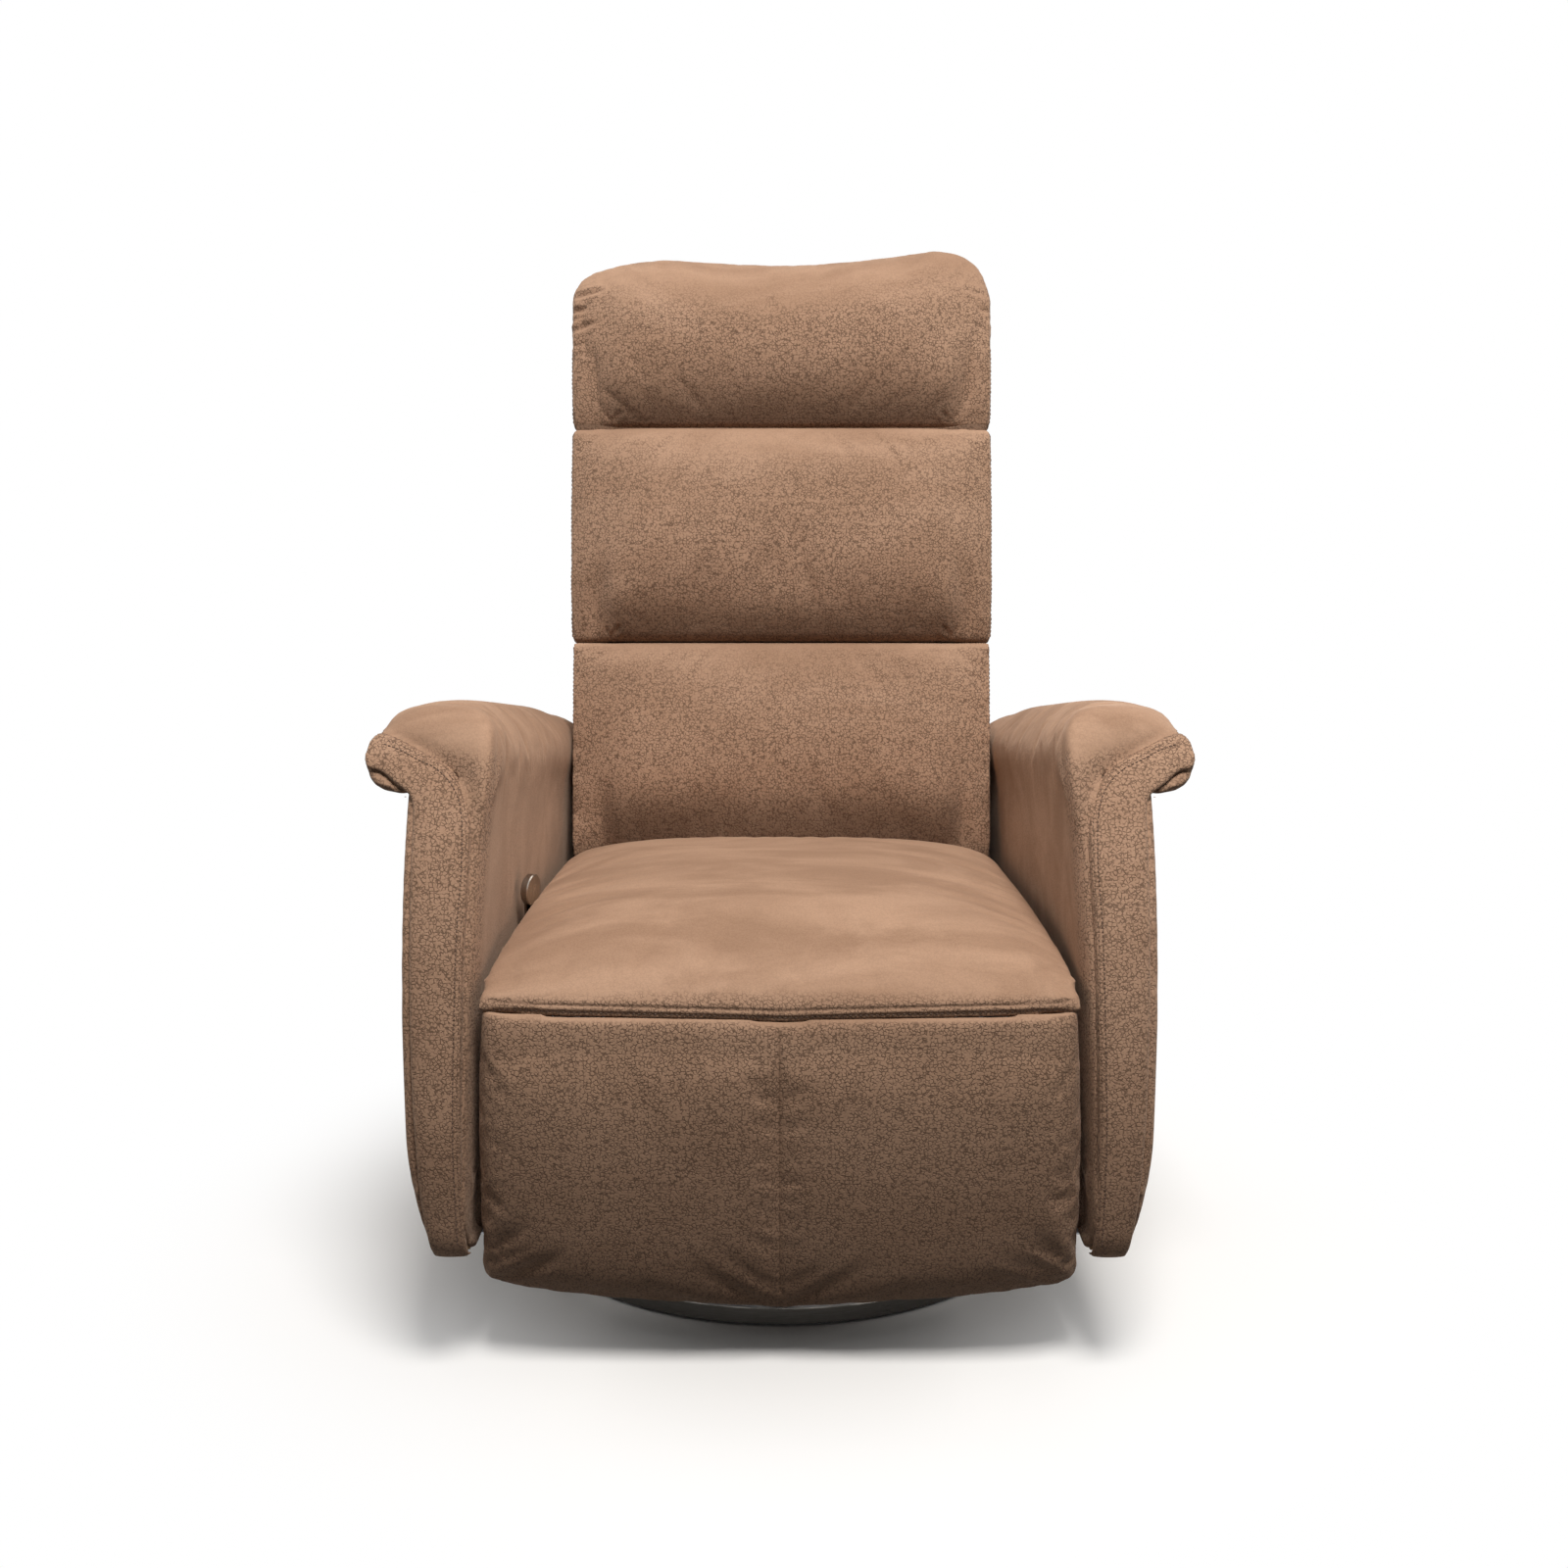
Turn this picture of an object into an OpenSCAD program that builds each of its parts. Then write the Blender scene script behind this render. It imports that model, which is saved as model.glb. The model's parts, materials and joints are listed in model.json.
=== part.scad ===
// Swivel recliner with a tilting seat, a swing-out footrest and a tilting headrest.
// The origin is on the floor, on the swivel axis. The sitter faces -Y, and +X is on the sitter's left.

/* [Base] */
// Outer diameter of the round base
base_d = 590; // [500:10:640]
// Width of the metal rim round the base
rim_w = 3; // [2:0.5:6]
// Height of the metal rim
rim_h = 16; // [14:1:30]
// Gap between the steel ballast plate and the rim
ballast_gap = 12; // [4:1:60]
// Thickness of the steel ballast plate
ballast_t = 5; // [4:1:12]
// Thickness of the wooden top disc
disc_t = 10; // [8:1:20]
// Height of the floor glides
glide_h = 3; // [2:0.5:6]
// Diameter of one floor glide
glide_d = 32; // [20:1:50]
// Number of floor glides round the one in the middle
glide_count = 8; // [4:1:12]

/* [Swivel] */
// Diameter of the swivel housing's flange
flange_d = 170; // [150:5:220]
// Thickness of that flange
flange_t = 5; // [4:1:8]
// Outer diameter of the swivel housing
housing_d = 96; // [84:2:120]
// Height of the housing above its flange
housing_h = 38; // [32:1:39]
// Diameter of the swivel spindle
spindle_d = 50; // [40:1:56]
// Side of the square plate on the spindle
swivel_plate_w = 230; // [200:5:260]
// Thickness of that plate
swivel_plate_t = 6; // [4:1:10]
// Diameter of one bearing ball
ball_d = 5; // [4:0.5:7]
// Number of bearing balls
ball_count = 24; // [12:1:32]
// Thickness of one bearing race
race_t = 1.5; // [1:0.25:3]

/* [Chassis] */
// Distance from the middle to each side rail
rail_x = 150; // [140:1:152]
// Width of a rail
rail_w = 24; // [16:1:30]
// Height of a rail
rail_h = 20; // [16:1:26]
// Front end of the rails
rail_front_y = -296; // [-300:1:-285]
// Rear end of the rails
rail_rear_y = 145; // [138:1:160]
// Width of a cross beam, front to rear
beam_w = 26; // [20:1:30]
// Height of a cross beam
beam_h = 30; // [24:1:34]
// Middle of the front cross beam
beam_front_y = -262; // [-270:1:-250]
// Middle of the rear cross beam
beam_rear_y = 122; // [110:1:124]
// Height of the tilt axis above the floor
tilt_z = 104; // [103:1:108]
// Place of the tilt axis, front to rear
tilt_y = -190; // [-200:1:-180]
// Diameter of the tilt pins
tilt_pin_d = 12; // [8:1:14]
// Thickness of the ears and of the cradle plates
plate_t = 5; // [3:0.5:6]
// Furthest tilt of the seat, in degrees
tilt_max = 18; // [10:1:18]

/* [Arms] */
// Half of the width over the outer faces of the arms
arm_outer_x = 352; // [346:1:356]
// Distance from the middle to the inner side of the arm frames
arm_frame_x = 304; // [300:1:306]
// Thickness of the plywood in the arms
ply_t = 18; // [12:1:20]
// Distance from the middle to the arms' inner faces at the front
arm_inner_front_x = 284; // [281:0.5:286]
// Distance from the middle to the arms' inner faces at the rear
arm_inner_rear_x = 272; // [268:0.5:276]
// How far the inner faces spread for each mm towards the floor
arm_flare = 0.055; // [0.04:0.005:0.06]
// Half of the width over the lips of the arm pads
lip_x = 392; // [385:1:396]
// Thickness of the front facings
facing_t = 12; // [8:1:14]
// Height of the crown of the arm pads over the frame, at the front
pad_crown_front = 66; // [55:1:75]
// Height of the crown of the arm pads over the frame, at the rear
pad_crown_rear = 30; // [24:1:40]
// Underside of the arms above the floor
arm_bottom_z = 125; // [125:1:140]

/* [Seat] */
// Half of the width of the seat cushion at its front
seat_front_x = 274; // [266:1:275]
// Half of the width of the seat cushion beside the release lever
seat_mid_x = 259; // [252:1:261]
// Half of the width of the seat cushion at its rear
seat_rear_x = 252; // [244:1:253]
// Height of the middle of the seat cushion
seat_top_z = 463; // [455:1:475]
// How far the sides of the seat cushion drop below its middle
seat_crown = 26; // [15:1:35]
// Underside of the seat cushion
seat_bottom_z = 337; // [337:1:345]
// Front of the seat cushion
seat_front_y = -462; // [-465:1:-456]
// Rear of the seat cushion
seat_rear_y = 50; // [40:1:52]
// Height of the seam between the seat and the footrest
seam_z = 386; // [385:1:390]
// Section of the seat frame tubes
seat_tube = 25; // [20:1:30]
// Number of webbing straps under the seat
strap_count = 6; // [3:1:8]
// Width of a webbing strap
strap_w = 50; // [30:1:56]

/* [Back] */
// Slope of the back from the vertical, in degrees, with the seat level
back_slope = 11.5; // [10:0.5:12]
// Length of the lower roll of the back
roll_low_len = 258; // [245:1:262]
// Length of the middle roll of the back
roll_mid_len = 252; // [245:1:260]
// Length of the head roll
roll_head_len = 214; // [190:1:230]
// Half of the width of the lower roll
roll_low_x = 250; // [236:1:252]
// Half of the width of the middle roll and of the head roll
roll_x = 253; // [245:1:256]
// How far the rolls stand out in front of their seams
roll_crown = 42; // [30:1:50]
// Depth of the rolls behind their seams
roll_back = 52; // [45:1:56]
// Height of the dip in the top of the head roll
head_dip = 13; // [0:1:20]
// Thickness of the plywood back board
back_board_t = 12; // [9:1:14]
// Half of the width of the back shell
shell_x = 243; // [235:1:247]
// Thickness of the back shell's walls
shell_wall = 12; // [8:1:16]
// Depth of the back shell at its top
shell_top_depth = 80; // [70:1:90]
// Depth of the back shell at its bottom
shell_bottom_depth = 158; // [140:1:162]
// How far the back shell reaches below the seat line
shell_drop = 128; // [110:1:130]
// How far the back shell reaches above the seat line
shell_rise = 660; // [640:1:680]

/* [Headrest] */
// Diameter of the headrest's hinge rod
head_rod_d = 6; // [5:1:7]
// Half of the length of that rod
head_rod_x = 205; // [180:1:225]
// Furthest tilt of the headrest, in degrees
head_tilt_max = 25; // [15:1:25]

/* [Footrest] */
// Length of the footrest pad at its middle
foot_len = 306; // [290:1:308]
// How far the footrest pad is shorter at its corners
foot_bow = 36; // [20:1:45]
// Thickness of the footrest pad
foot_t = 62; // [50:1:64]
// Slope of the closed footrest from the vertical, in degrees
foot_slope = 10.4; // [9:0.2:11]
// Thickness of the footrest board
foot_board_t = 12; // [9:1:13]
// Diameter of the footrest's hinge pins
foot_pin_d = 8; // [6:1:9]
// Distance from the middle to each footrest rail
foot_rail_x = 200; // [190:1:205]
// Width of a footrest rail
foot_rail_w = 20; // [14:1:24]
// Furthest swing of the footrest from its closed place, in degrees
foot_swing_max = 80; // [70:1:82]
// Furthest slide of the footrest along its rails
foot_slide_max = 116; // [90:1:120]
// Length of a footrest stay between its ends
stay_len = 140; // [110:1:150]
// Furthest turn of the stays on the footrest, in degrees
stay_turn_max = 40; // [30:1:45]

/* [Gas spring] */
// Outer diameter of the gas cylinder
gas_d = 28; // [22:1:30]
// Diameter of the piston rod
gas_rod_d = 10; // [8:1:12]
// Length of the gas cylinder
gas_len = 128; // [122:1:132]
// Place of the lower eye, front to rear
gas_low_y = 100; // [95:1:104]
// Height of the lower eye
gas_low_z = 146; // [144:1:150]
// Place of the upper eye, front to rear
gas_high_y = -96; // [-100:1:-92]
// Height of the upper eye
gas_high_z = 284; // [280:1:286]
// Diameter of the pins in the eyes
gas_pin_d = 8; // [6:1:9]

/* [Release lever] */
// Place of the lever's shaft, front to rear
lever_y = -190; // [-200:1:-150]
// Length of the lever from its shaft to the middle of its paddle
lever_len = 142; // [125:1:150]
// Thickness of the lever
lever_t = 3; // [2:0.5:4]
// Width of the lever's strip
lever_w = 13; // [9:1:16]
// Diameter of the round paddle
paddle_d = 26; // [20:1:32]
// Furthest pull of the lever, in degrees
lever_pull_max = 25; // [15:1:30]
// Diameter of the lever's shaft
lever_shaft_d = 8; // [6:1:10]

/* [Fits] */
// Radial clearance of a pin or a spindle in its bore
run_gap = 0.05; // [0.03:0.01:0.1]
// Gap between soft pieces and what they lie against
soft_gap = 0.3; // [0.2:0.1:0.6]
// Radial clearance in an eye that follows a curved path
eye_gap = 2.9; // [2.9:0.1:3.2]
// Side clearance between plates that turn past each other
side_gap = 1; // [0.8:0.1:1.5]

/* [Hidden] */
$fn = 48;

// Base
ballast_d = base_d - 2 * (rim_w + ballast_gap);

// Heights of the swivel stack, from the floor up
ballast_z = glide_h;
disc_z = ballast_z + ballast_t;
flange_z = disc_z + disc_t;
race_z = flange_z + flange_t + housing_h;
ball_z = race_z + race_t;
upper_race_z = ball_z + ball_d;
swivel_plate_z = upper_race_z + race_t;
rail_z = swivel_plate_z + swivel_plate_t;
beam_z = rail_z + rail_h;
arm_z = beam_z + beam_h > arm_bottom_z ? beam_z + beam_h : arm_bottom_z;
race_r = (housing_d + spindle_d) / 4 + 2;
race_w = ball_d + 3;
screw_r = (flange_d + housing_d) / 4;
// The retaining clip sits in a groove of the spindle, in a pocket under the housing
clip_t = 2;
clip_d = spindle_d + 10;
clip_space = 7;
clip_z = flange_z + 3;
groove_depth = 3;

// Chassis
tie_y = 80;
tie_w = 40;
tie_t = 8;
tie_bolt_x = 70;
tilt_ear_x = rail_x + rail_w / 2;
tilt_ear_foot = 34;
tilt_ear_top = 14;
cradle_x = tilt_ear_x + plate_t + side_gap;
cradle_foot = 16;
cradle_edge = 20;
cradle_front_y = -300;
cradle_rear_y = -20;
gas_ear_reach = 16;

// Outline of an arm, seen from its side: [y, z] points, with the round stretches as curves
arm_top_front = [-370, 598];
arm_top_rear = [292, 495];
arm_top_slope = (arm_top_rear[1] - arm_top_front[1]) / (arm_top_rear[0] - arm_top_front[0]);
arm_nose = concat(
    curve(arm_top_front, [-445, 500], [-470, 330], [-436, 175], 14),
    curve([-436, 175], [-430, arm_z + 12], [-418, arm_z], [-385, arm_z], 5));
arm_tail = concat(
    curve([60, arm_z], [165, arm_z + 8], [225, 180], [243, 270], 8),
    curve([243, 270], [255, 340], [262, 420], arm_top_rear, 7));
arm_flat_front_y = -300;
arm_flat_rear_y = 100;
arm_front_y = arm_top_front[0] - 28;
facing_x = arm_inner_front_x + 6;

// Seat frame
seat_frame_front_y = -345;
seat_frame_rear_y = 44;
seat_frame_x = 250;
seat_frame_z = seat_bottom_z - 2 - seat_tube;
strap_t = 2;
yoke_bar = 34;

// Seat cushion: where its thick part begins, behind the footrest, and where its sides draw in
seat_step_y = -350;
seat_taper_y = -420;
seat_mid_y = -240;

// Back: the line that its rolls stand on
back_y = 66;
back_z = 430;
back_front = roll_back + soft_gap;
roll_gap = 2;
head_gap = head_rod_d + 4;
low_start = -8;
mid_start = low_start + roll_low_len + roll_gap;
head_start = mid_start + roll_mid_len + head_gap;
head_axis_z = head_start - head_gap / 2;
head_axis_y = 4;
shell_front = back_front + back_board_t + soft_gap;
back_board_x = shell_x - 2;
back_board_low = 20 - shell_drop;
bracket_top = 398;
bracket_low = 318;

// Headrest: leaves on the back board and arms on the headrest board, side by side on one rod
head_leaf_x = 120;
head_leaf_w = 26;
head_arm_x = head_leaf_x + head_leaf_w + 2;
head_arm_w = 26;
head_plate_t = 2;
head_board_x = 205;

// Footrest: its own frame has its origin on the seam, Z up the pad and Y into the chair
foot_axis_y = -442;
foot_axis_z = seam_z - 8;
foot_face = -16;
foot_top = -10;
foot_board_back = foot_face + foot_t + soft_gap + foot_board_t;
foot_rail_front = foot_board_back + 6;
foot_rail_t = 10;
foot_rail_end = -248;
stay_pin_z = -192;
stay_pin_y = foot_rail_front + foot_rail_t + 12;
stay_x = foot_rail_x + foot_rail_w / 2 + plate_t + side_gap;
runner_len = 60;
runner_lip = 4;
foot_strap_w = 20;
foot_strap_x = foot_rail_x - foot_rail_w / 2 - runner_lip - side_gap - foot_strap_w;
foot_board_x = 250;
stay_pin_d = 7;
stay_w = 18;

// Gas spring
gas_eye_w = 16;
gas_eye_d = gas_pin_d + 2 * eye_gap + 8;
gas_x = 0;
gas_angle = atan2(gas_high_z - gas_low_z, gas_high_y - gas_low_y);
gas_dist = norm([gas_high_y - gas_low_y, gas_high_z - gas_low_z]);
gas_start = 20;
gas_pin_end = gas_eye_w / 2 + side_gap + plate_t + 2;

// Release lever, beside the seat cushion on the sitter's right
lever_z = seat_frame_z + seat_tube / 2;
lever_x = -(seat_mid_x + lever_t + 5);
lever_lean = 9;

// Release cable: from under the frame's side tube, through the cradle plate, to the pin of the upper eye
cable_d = 5;
cable_hole_y = -176;
cable_hole_z = 280;
cable_points = [[-238, lever_y, seat_frame_z - cable_d / 2 - 0.1],
    [-228, lever_y + 1, seat_frame_z - cable_d / 2 - 1], [-212, lever_y + 6, cable_hole_z + 16],
    [-196, cable_hole_y - 3, cable_hole_z + 5], [-cradle_x - plate_t - 5, cable_hole_y, cable_hole_z],
    [-cradle_x + 8, cable_hole_y, cable_hole_z], [-120, -150, cable_hole_z], [-80, -122, cable_hole_z + 1],
    [-48, gas_high_y - 8, gas_high_z - 1], [-28, gas_high_y, gas_high_z], [-gas_pin_end, gas_high_y, gas_high_z]];

// Points on a cubic curve from a to d, without its first point
function curve(a, b, c, d, n) = [for (i = [1:n]) let (t = i / n, s = 1 - t)
    s * s * s * a + 3 * s * s * t * b + 3 * s * t * t * c + t * t * t * d];
// A number raised to a power, with its sign kept
function signed_pow(v, p) = sign(v) * pow(abs(v), p);
// The middle of a list of points
function middle(ring) = [for (k = [0:2]) let (s = [for (p = ring) p[k]]) s * [for (v = s) 1] / len(ring)];
// Where x lies between two values, from 0 to 1
function part_way(x, from, to) = min(1, max(0, (x - from) / (to - from)));
// A point of an arm's outline moved back, along the slope of its top line
function moved_back(p, back) = [p[0] + back,
    p[1] + back * arm_top_slope * part_way(p[1], 300, arm_top_front[1])];
// Where the back board's front face lies at a height
function board_line_y(z) = back_y + back_front / cos(back_slope) + (z - back_z) * tan(back_slope);
// The height of an arm's top line at y
function arm_line_z(y) = arm_top_front[1] + (y - arm_top_front[0]) * arm_top_slope;
// The distance from the middle to an arm's inner face
function arm_inner_x(y, z) = arm_inner_front_x
    - (arm_inner_front_x - arm_inner_rear_x) * part_way(y, arm_flat_front_y, arm_flat_rear_y)
    + arm_flare * (seam_z - z);

// A closed solid through rings that all have the same number of points
module loft(rings) {
    n = len(rings[0]);
    m = len(rings);
    points = concat([for (ring = rings) each ring], [middle(rings[0]), middle(rings[m - 1])]);
    sides = [for (i = [0:m - 2]) for (j = [0:n - 1])
        let (a = i * n + j, b = i * n + (j + 1) % n) each [[a, b, b + n], [a, b + n, a + n]]];
    first_cap = [for (j = [0:n - 1]) [m * n, (j + 1) % n, j]];
    last_cap = [for (j = [0:n - 1]) let (k = (m - 1) * n) [m * n + 1, k + j, k + (j + 1) % n]];
    polyhedron(concat(points), concat(sides, first_cap, last_cap), convexity = 6);
}

// A solid drawn as an outline in the YZ plane, from x_from along +X for a width
module side_plate(x_from, width, outline)
    translate([x_from, 0, 0]) rotate([90, 0, 90]) linear_extrude(width) polygon(outline);

// A rod along X
module rod_x(x_from, length, y, z, d)
    translate([x_from, y, z]) rotate([0, 90, 0]) cylinder(h = length, d = d);

// The same piece on both sides
module both_sides() {
    children();
    mirror([1, 0, 0]) children();
}

// Moves pieces from the back's own frame: Z up the back, Y towards the rear
module on_back() translate([0, back_y, back_z]) rotate([-back_slope, 0, 0]) children();

// Moves pieces from the footrest's own frame: Z up the closed pad, Y into the chair, origin on its hinge
module on_footrest() translate([0, foot_axis_y, foot_axis_z]) rotate([foot_slope, 0, 0]) children();

// Moves pieces from the gas spring's own frame: X along the spring, from its lower eye
module on_gas_spring() translate([gas_x, gas_low_y, gas_low_z]) rotate([gas_angle, 0, 0])
    rotate([0, 0, 90]) children();

module base_disc() color([0.16, 0.11, 0.08])
    translate([0, 0, disc_z]) cylinder(h = disc_t, d = base_d - 2 * rim_w - 2 * run_gap, $fn = 120);

module base_rim() color([0.72, 0.70, 0.67])
    translate([0, 0, disc_z + disc_t + 1 - rim_h]) difference() {
        cylinder(h = rim_h, d = base_d, $fn = 120);
        translate([0, 0, -1]) cylinder(h = rim_h + 2, d = base_d - 2 * rim_w, $fn = 120);
    }

module ballast_plate() color([0.2, 0.2, 0.2])
    translate([0, 0, ballast_z]) cylinder(h = ballast_t, d = ballast_d, $fn = 120);

module floor_glides() color([0.12, 0.12, 0.12]) {
    cylinder(h = glide_h, d = glide_d);
    for (i = [0:glide_count - 1]) rotate([0, 0, i * 360 / glide_count])
        translate([ballast_d / 2 - glide_d, 0, 0]) cylinder(h = glide_h, d = glide_d);
}

module swivel_housing() color([0.15, 0.15, 0.16])
    translate([0, 0, flange_z]) difference() {
        union() {
            cylinder(h = flange_t, d = flange_d);
            cylinder(h = flange_t + housing_h, d = housing_d);
        }
        translate([0, 0, -1]) cylinder(h = flange_t + housing_h + 2, d = spindle_d + 2 * run_gap);
        translate([0, 0, -1]) cylinder(h = clip_space + 1, d = clip_d + 4);
    }

module housing_screws() color([0.5, 0.5, 0.5])
    for (i = [0:5]) rotate([0, 0, 60 * i]) translate([screw_r, 0, flange_z + flange_t])
        cylinder(h = 4, d = 11);

module race(z) translate([0, 0, z]) difference() {
    cylinder(h = race_t, r = race_r + race_w / 2);
    translate([0, 0, -1]) cylinder(h = race_t + 2, r = race_r - race_w / 2);
}

module lower_race() color([0.6, 0.6, 0.62]) race(race_z);

module upper_race() color([0.6, 0.6, 0.62]) race(upper_race_z);

module bearing_balls() color([0.8, 0.8, 0.82])
    for (i = [0:ball_count - 1]) rotate([0, 0, i * 360 / ball_count])
        translate([race_r, 0, ball_z + ball_d / 2]) sphere(d = ball_d - 2 * run_gap, $fn = 24);

module swivel_spindle() color([0.18, 0.18, 0.19]) difference() {
    union() {
        translate([-swivel_plate_w / 2, -swivel_plate_w / 2, swivel_plate_z])
            cube([swivel_plate_w, swivel_plate_w, swivel_plate_t]);
        translate([0, 0, flange_z + 1]) cylinder(h = swivel_plate_z + 1 - flange_z - 1, d = spindle_d);
    }
    translate([0, 0, clip_z]) difference() {
        cylinder(h = clip_t, d = spindle_d + 1);
        translate([0, 0, -1]) cylinder(h = clip_t + 2, d = spindle_d - 2 * groove_depth);
    }
}

module spindle_clip() color([0.6, 0.6, 0.62]) translate([0, 0, clip_z]) difference() {
    cylinder(h = clip_t - 2 * run_gap, d = clip_d);
    translate([0, 0, -1]) cylinder(h = clip_t + 2, d = spindle_d - 2 * groove_depth + 2 * run_gap);
}

module chassis_rails() color([0.13, 0.13, 0.14]) both_sides()
    translate([rail_x - rail_w / 2, rail_front_y, rail_z])
        cube([rail_w, rail_rear_y - rail_front_y, rail_h]);

// Tie plates carry the rails on the spindle's plate
module plate_bolts() color([0.5, 0.5, 0.5]) both_sides() {
    for (y = [-tie_y, tie_y]) {
        translate([0, y - tie_w / 2, rail_z])
            cube([rail_x - rail_w / 2, tie_w, tie_t]);
        translate([tie_bolt_x, y, rail_z + tie_t]) cylinder(h = 6, d = 14, $fn = 6);
    }
}

module chassis_beams() color([0.13, 0.13, 0.14]) for (y = [beam_front_y, beam_rear_y])
    translate([-arm_frame_x - ply_t, y - beam_w / 2, beam_z])
        cube([2 * (arm_frame_x + ply_t), beam_w, arm_z - beam_z]);

module tilt_ears() color([0.2, 0.2, 0.21]) both_sides() difference() {
    side_plate(tilt_ear_x, plate_t, [[tilt_y - tilt_ear_foot, rail_z], [tilt_y + tilt_ear_foot, rail_z],
        [tilt_y + tilt_ear_top, tilt_z + 12], [tilt_y - tilt_ear_top, tilt_z + 12]]);
    rod_x(tilt_ear_x - 1, plate_t + 2, tilt_y, tilt_z, tilt_pin_d + 2 * run_gap);
}

module gas_spring_ears() color([0.2, 0.2, 0.21]) both_sides() difference() {
    side_plate(gas_eye_w / 2 + side_gap, plate_t,
        [[beam_rear_y - beam_w / 2 - gas_ear_reach, arm_z], [beam_rear_y + beam_w / 2, arm_z],
        [gas_low_y + 12, gas_low_z + 12], [gas_low_y - 12, gas_low_z + 12]]);
    rod_x(gas_eye_w / 2, plate_t + 2 * side_gap + 1, gas_low_y, gas_low_z, gas_pin_d + 2 * run_gap);
}

module arm_bolts() color([0.5, 0.5, 0.5]) both_sides() for (y = [beam_front_y, beam_rear_y])
    translate([arm_frame_x + ply_t / 2, y, beam_z - 5]) cylinder(h = 5, d = 13, $fn = 6);

// The arm's side outline, drawn back from its front by a set depth
function arm_outline(back) = concat(
    [for (p = concat([arm_top_front], arm_nose)) moved_back(p, back)],
    [[60, arm_z]], arm_tail);

module arm_frame() color([0.72, 0.58, 0.40]) side_plate(arm_frame_x, ply_t, arm_outline(facing_t));

// The outer side's upholstery swells between its edges and draws in at its lower edge
module arm_outer() color([0.55, 0.43, 0.34]) {
    edge = arm_outline(facing_t);
    mid = [-70, 340];
    levels = [[1, 0.055], [0.85, 0.02], [0.55, 0.004], [0, 0]];
    thick = arm_outer_x - arm_frame_x - ply_t - soft_gap;
    loft([for (level = levels) [for (p = edge) let (
        q = p + (mid - p) * level[1],
        low = pow(part_way(p[1], 270, arm_z), 2))
        [arm_frame_x + ply_t + soft_gap + thick * level[0] * (1 - 0.6 * low), q[0], q[1]]]]);
}

// The inner side's upholstery, between the frame and the seat
module arm_inner() color([0.55, 0.43, 0.34]) intersection() {
    side_plate(arm_inner_rear_x - 10, arm_frame_x - arm_inner_rear_x + 10, arm_outline(facing_t));
    loft([for (y = [320, arm_flat_rear_y, 0, -100, -200, arm_flat_front_y, -470])
        [for (q = [[0, 60], [0, 640], [1, 640], [1, 60]]) let (x = arm_inner_x(y, q[1]))
            [x + (arm_frame_x - soft_gap - x) * q[0], y, q[1]]]]);
}

// The strip of upholstery down the front of an arm
module arm_facing() color([0.52, 0.41, 0.32]) {
    nose = concat([arm_top_front], arm_nose);
    back = [for (i = [len(nose) - 1:-1:0]) moved_back(nose[i], facing_t - soft_gap)];
    side_plate(facing_x, arm_outer_x - 4 - facing_x, concat(nose, back));
}

// The padded top of an arm, with a lip that overhangs the outer side
module arm_pad() color([0.58, 0.46, 0.36]) {
    stations = [296, 292, 280, 258, 225, 180, 130, 70, 10, -50, -110, -170, -230, -280, -320, -350, -374,
        -390, -399, -402];
    loft([for (y = stations) let (
        base = arm_line_z(y) + soft_gap,
        front = pow(part_way(y, arm_front_y - 4, arm_front_y + 58), 0.45),
        rear = pow(part_way(y, arm_top_rear[0] + 6, 150), 0.5),
        size = max(0.04, min(front, 1) * min(rear, 1)),
        crown = (pad_crown_front + (pad_crown_rear - pad_crown_front) * part_way(y, -380, 290)) * size,
        inner = arm_inner_x(y, 600) + 4,
        drop = 20 * size,
        lip = (lip_x - arm_outer_x) * size)
        [for (q = [[inner + 2, 0], [inner - 4 * size, crown * 0.45], [inner + 1, crown * 0.72],
            [inner + 14, crown * 0.92], [inner + 34, crown], [inner + 52, crown * 0.96],
            [arm_outer_x - 14 + lip * 0.45, crown * 0.78], [arm_outer_x - 6 + lip * 0.8, crown * 0.5],
            [arm_outer_x + lip * 0.92, crown * 0.2], [arm_outer_x + lip, -drop * 0.1],
            [arm_outer_x + lip * 0.92, -drop * 0.6], [arm_outer_x + lip * 0.65, -drop],
            [arm_outer_x + lip * 0.15 + 0.5, -drop * 0.9], [arm_outer_x + lip * 0.05 + 0.5, -drop * 0.4],
            [arm_outer_x + 0.5, 0]])
            [q[0], y, base + q[1]]]]);
}

module arm_frame_left() arm_frame();
module arm_frame_right() mirror([1, 0, 0]) arm_frame();
module arm_outer_left() arm_outer();
module arm_outer_right() mirror([1, 0, 0]) arm_outer();
module arm_inner_left() arm_inner();
module arm_inner_right() mirror([1, 0, 0]) arm_inner();
module arm_pad_left() arm_pad();
module arm_pad_right() mirror([1, 0, 0]) arm_pad();
module arm_facing_left() arm_facing();
module arm_facing_right() mirror([1, 0, 0]) arm_facing();

module cradle_plates() color([0.2, 0.2, 0.21]) both_sides() difference() {
    union() {
        side_plate(cradle_x, plate_t, [[tilt_y - cradle_foot, tilt_z - 10], [tilt_y + cradle_foot, tilt_z - 10],
            [cradle_rear_y, seat_frame_z - cradle_edge], [cradle_rear_y, seat_frame_z],
            [cradle_front_y, seat_frame_z], [cradle_front_y, seat_frame_z - cradle_edge]]);
        rod_x(cradle_x, plate_t, tilt_y, tilt_z, 36);
    }
    rod_x(cradle_x - 1, plate_t + 2, tilt_y, tilt_z, tilt_pin_d + 2 * run_gap);
    rod_x(cradle_x - 1, plate_t + 2, cable_hole_y, cable_hole_z, cable_d + 4);
}

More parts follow.
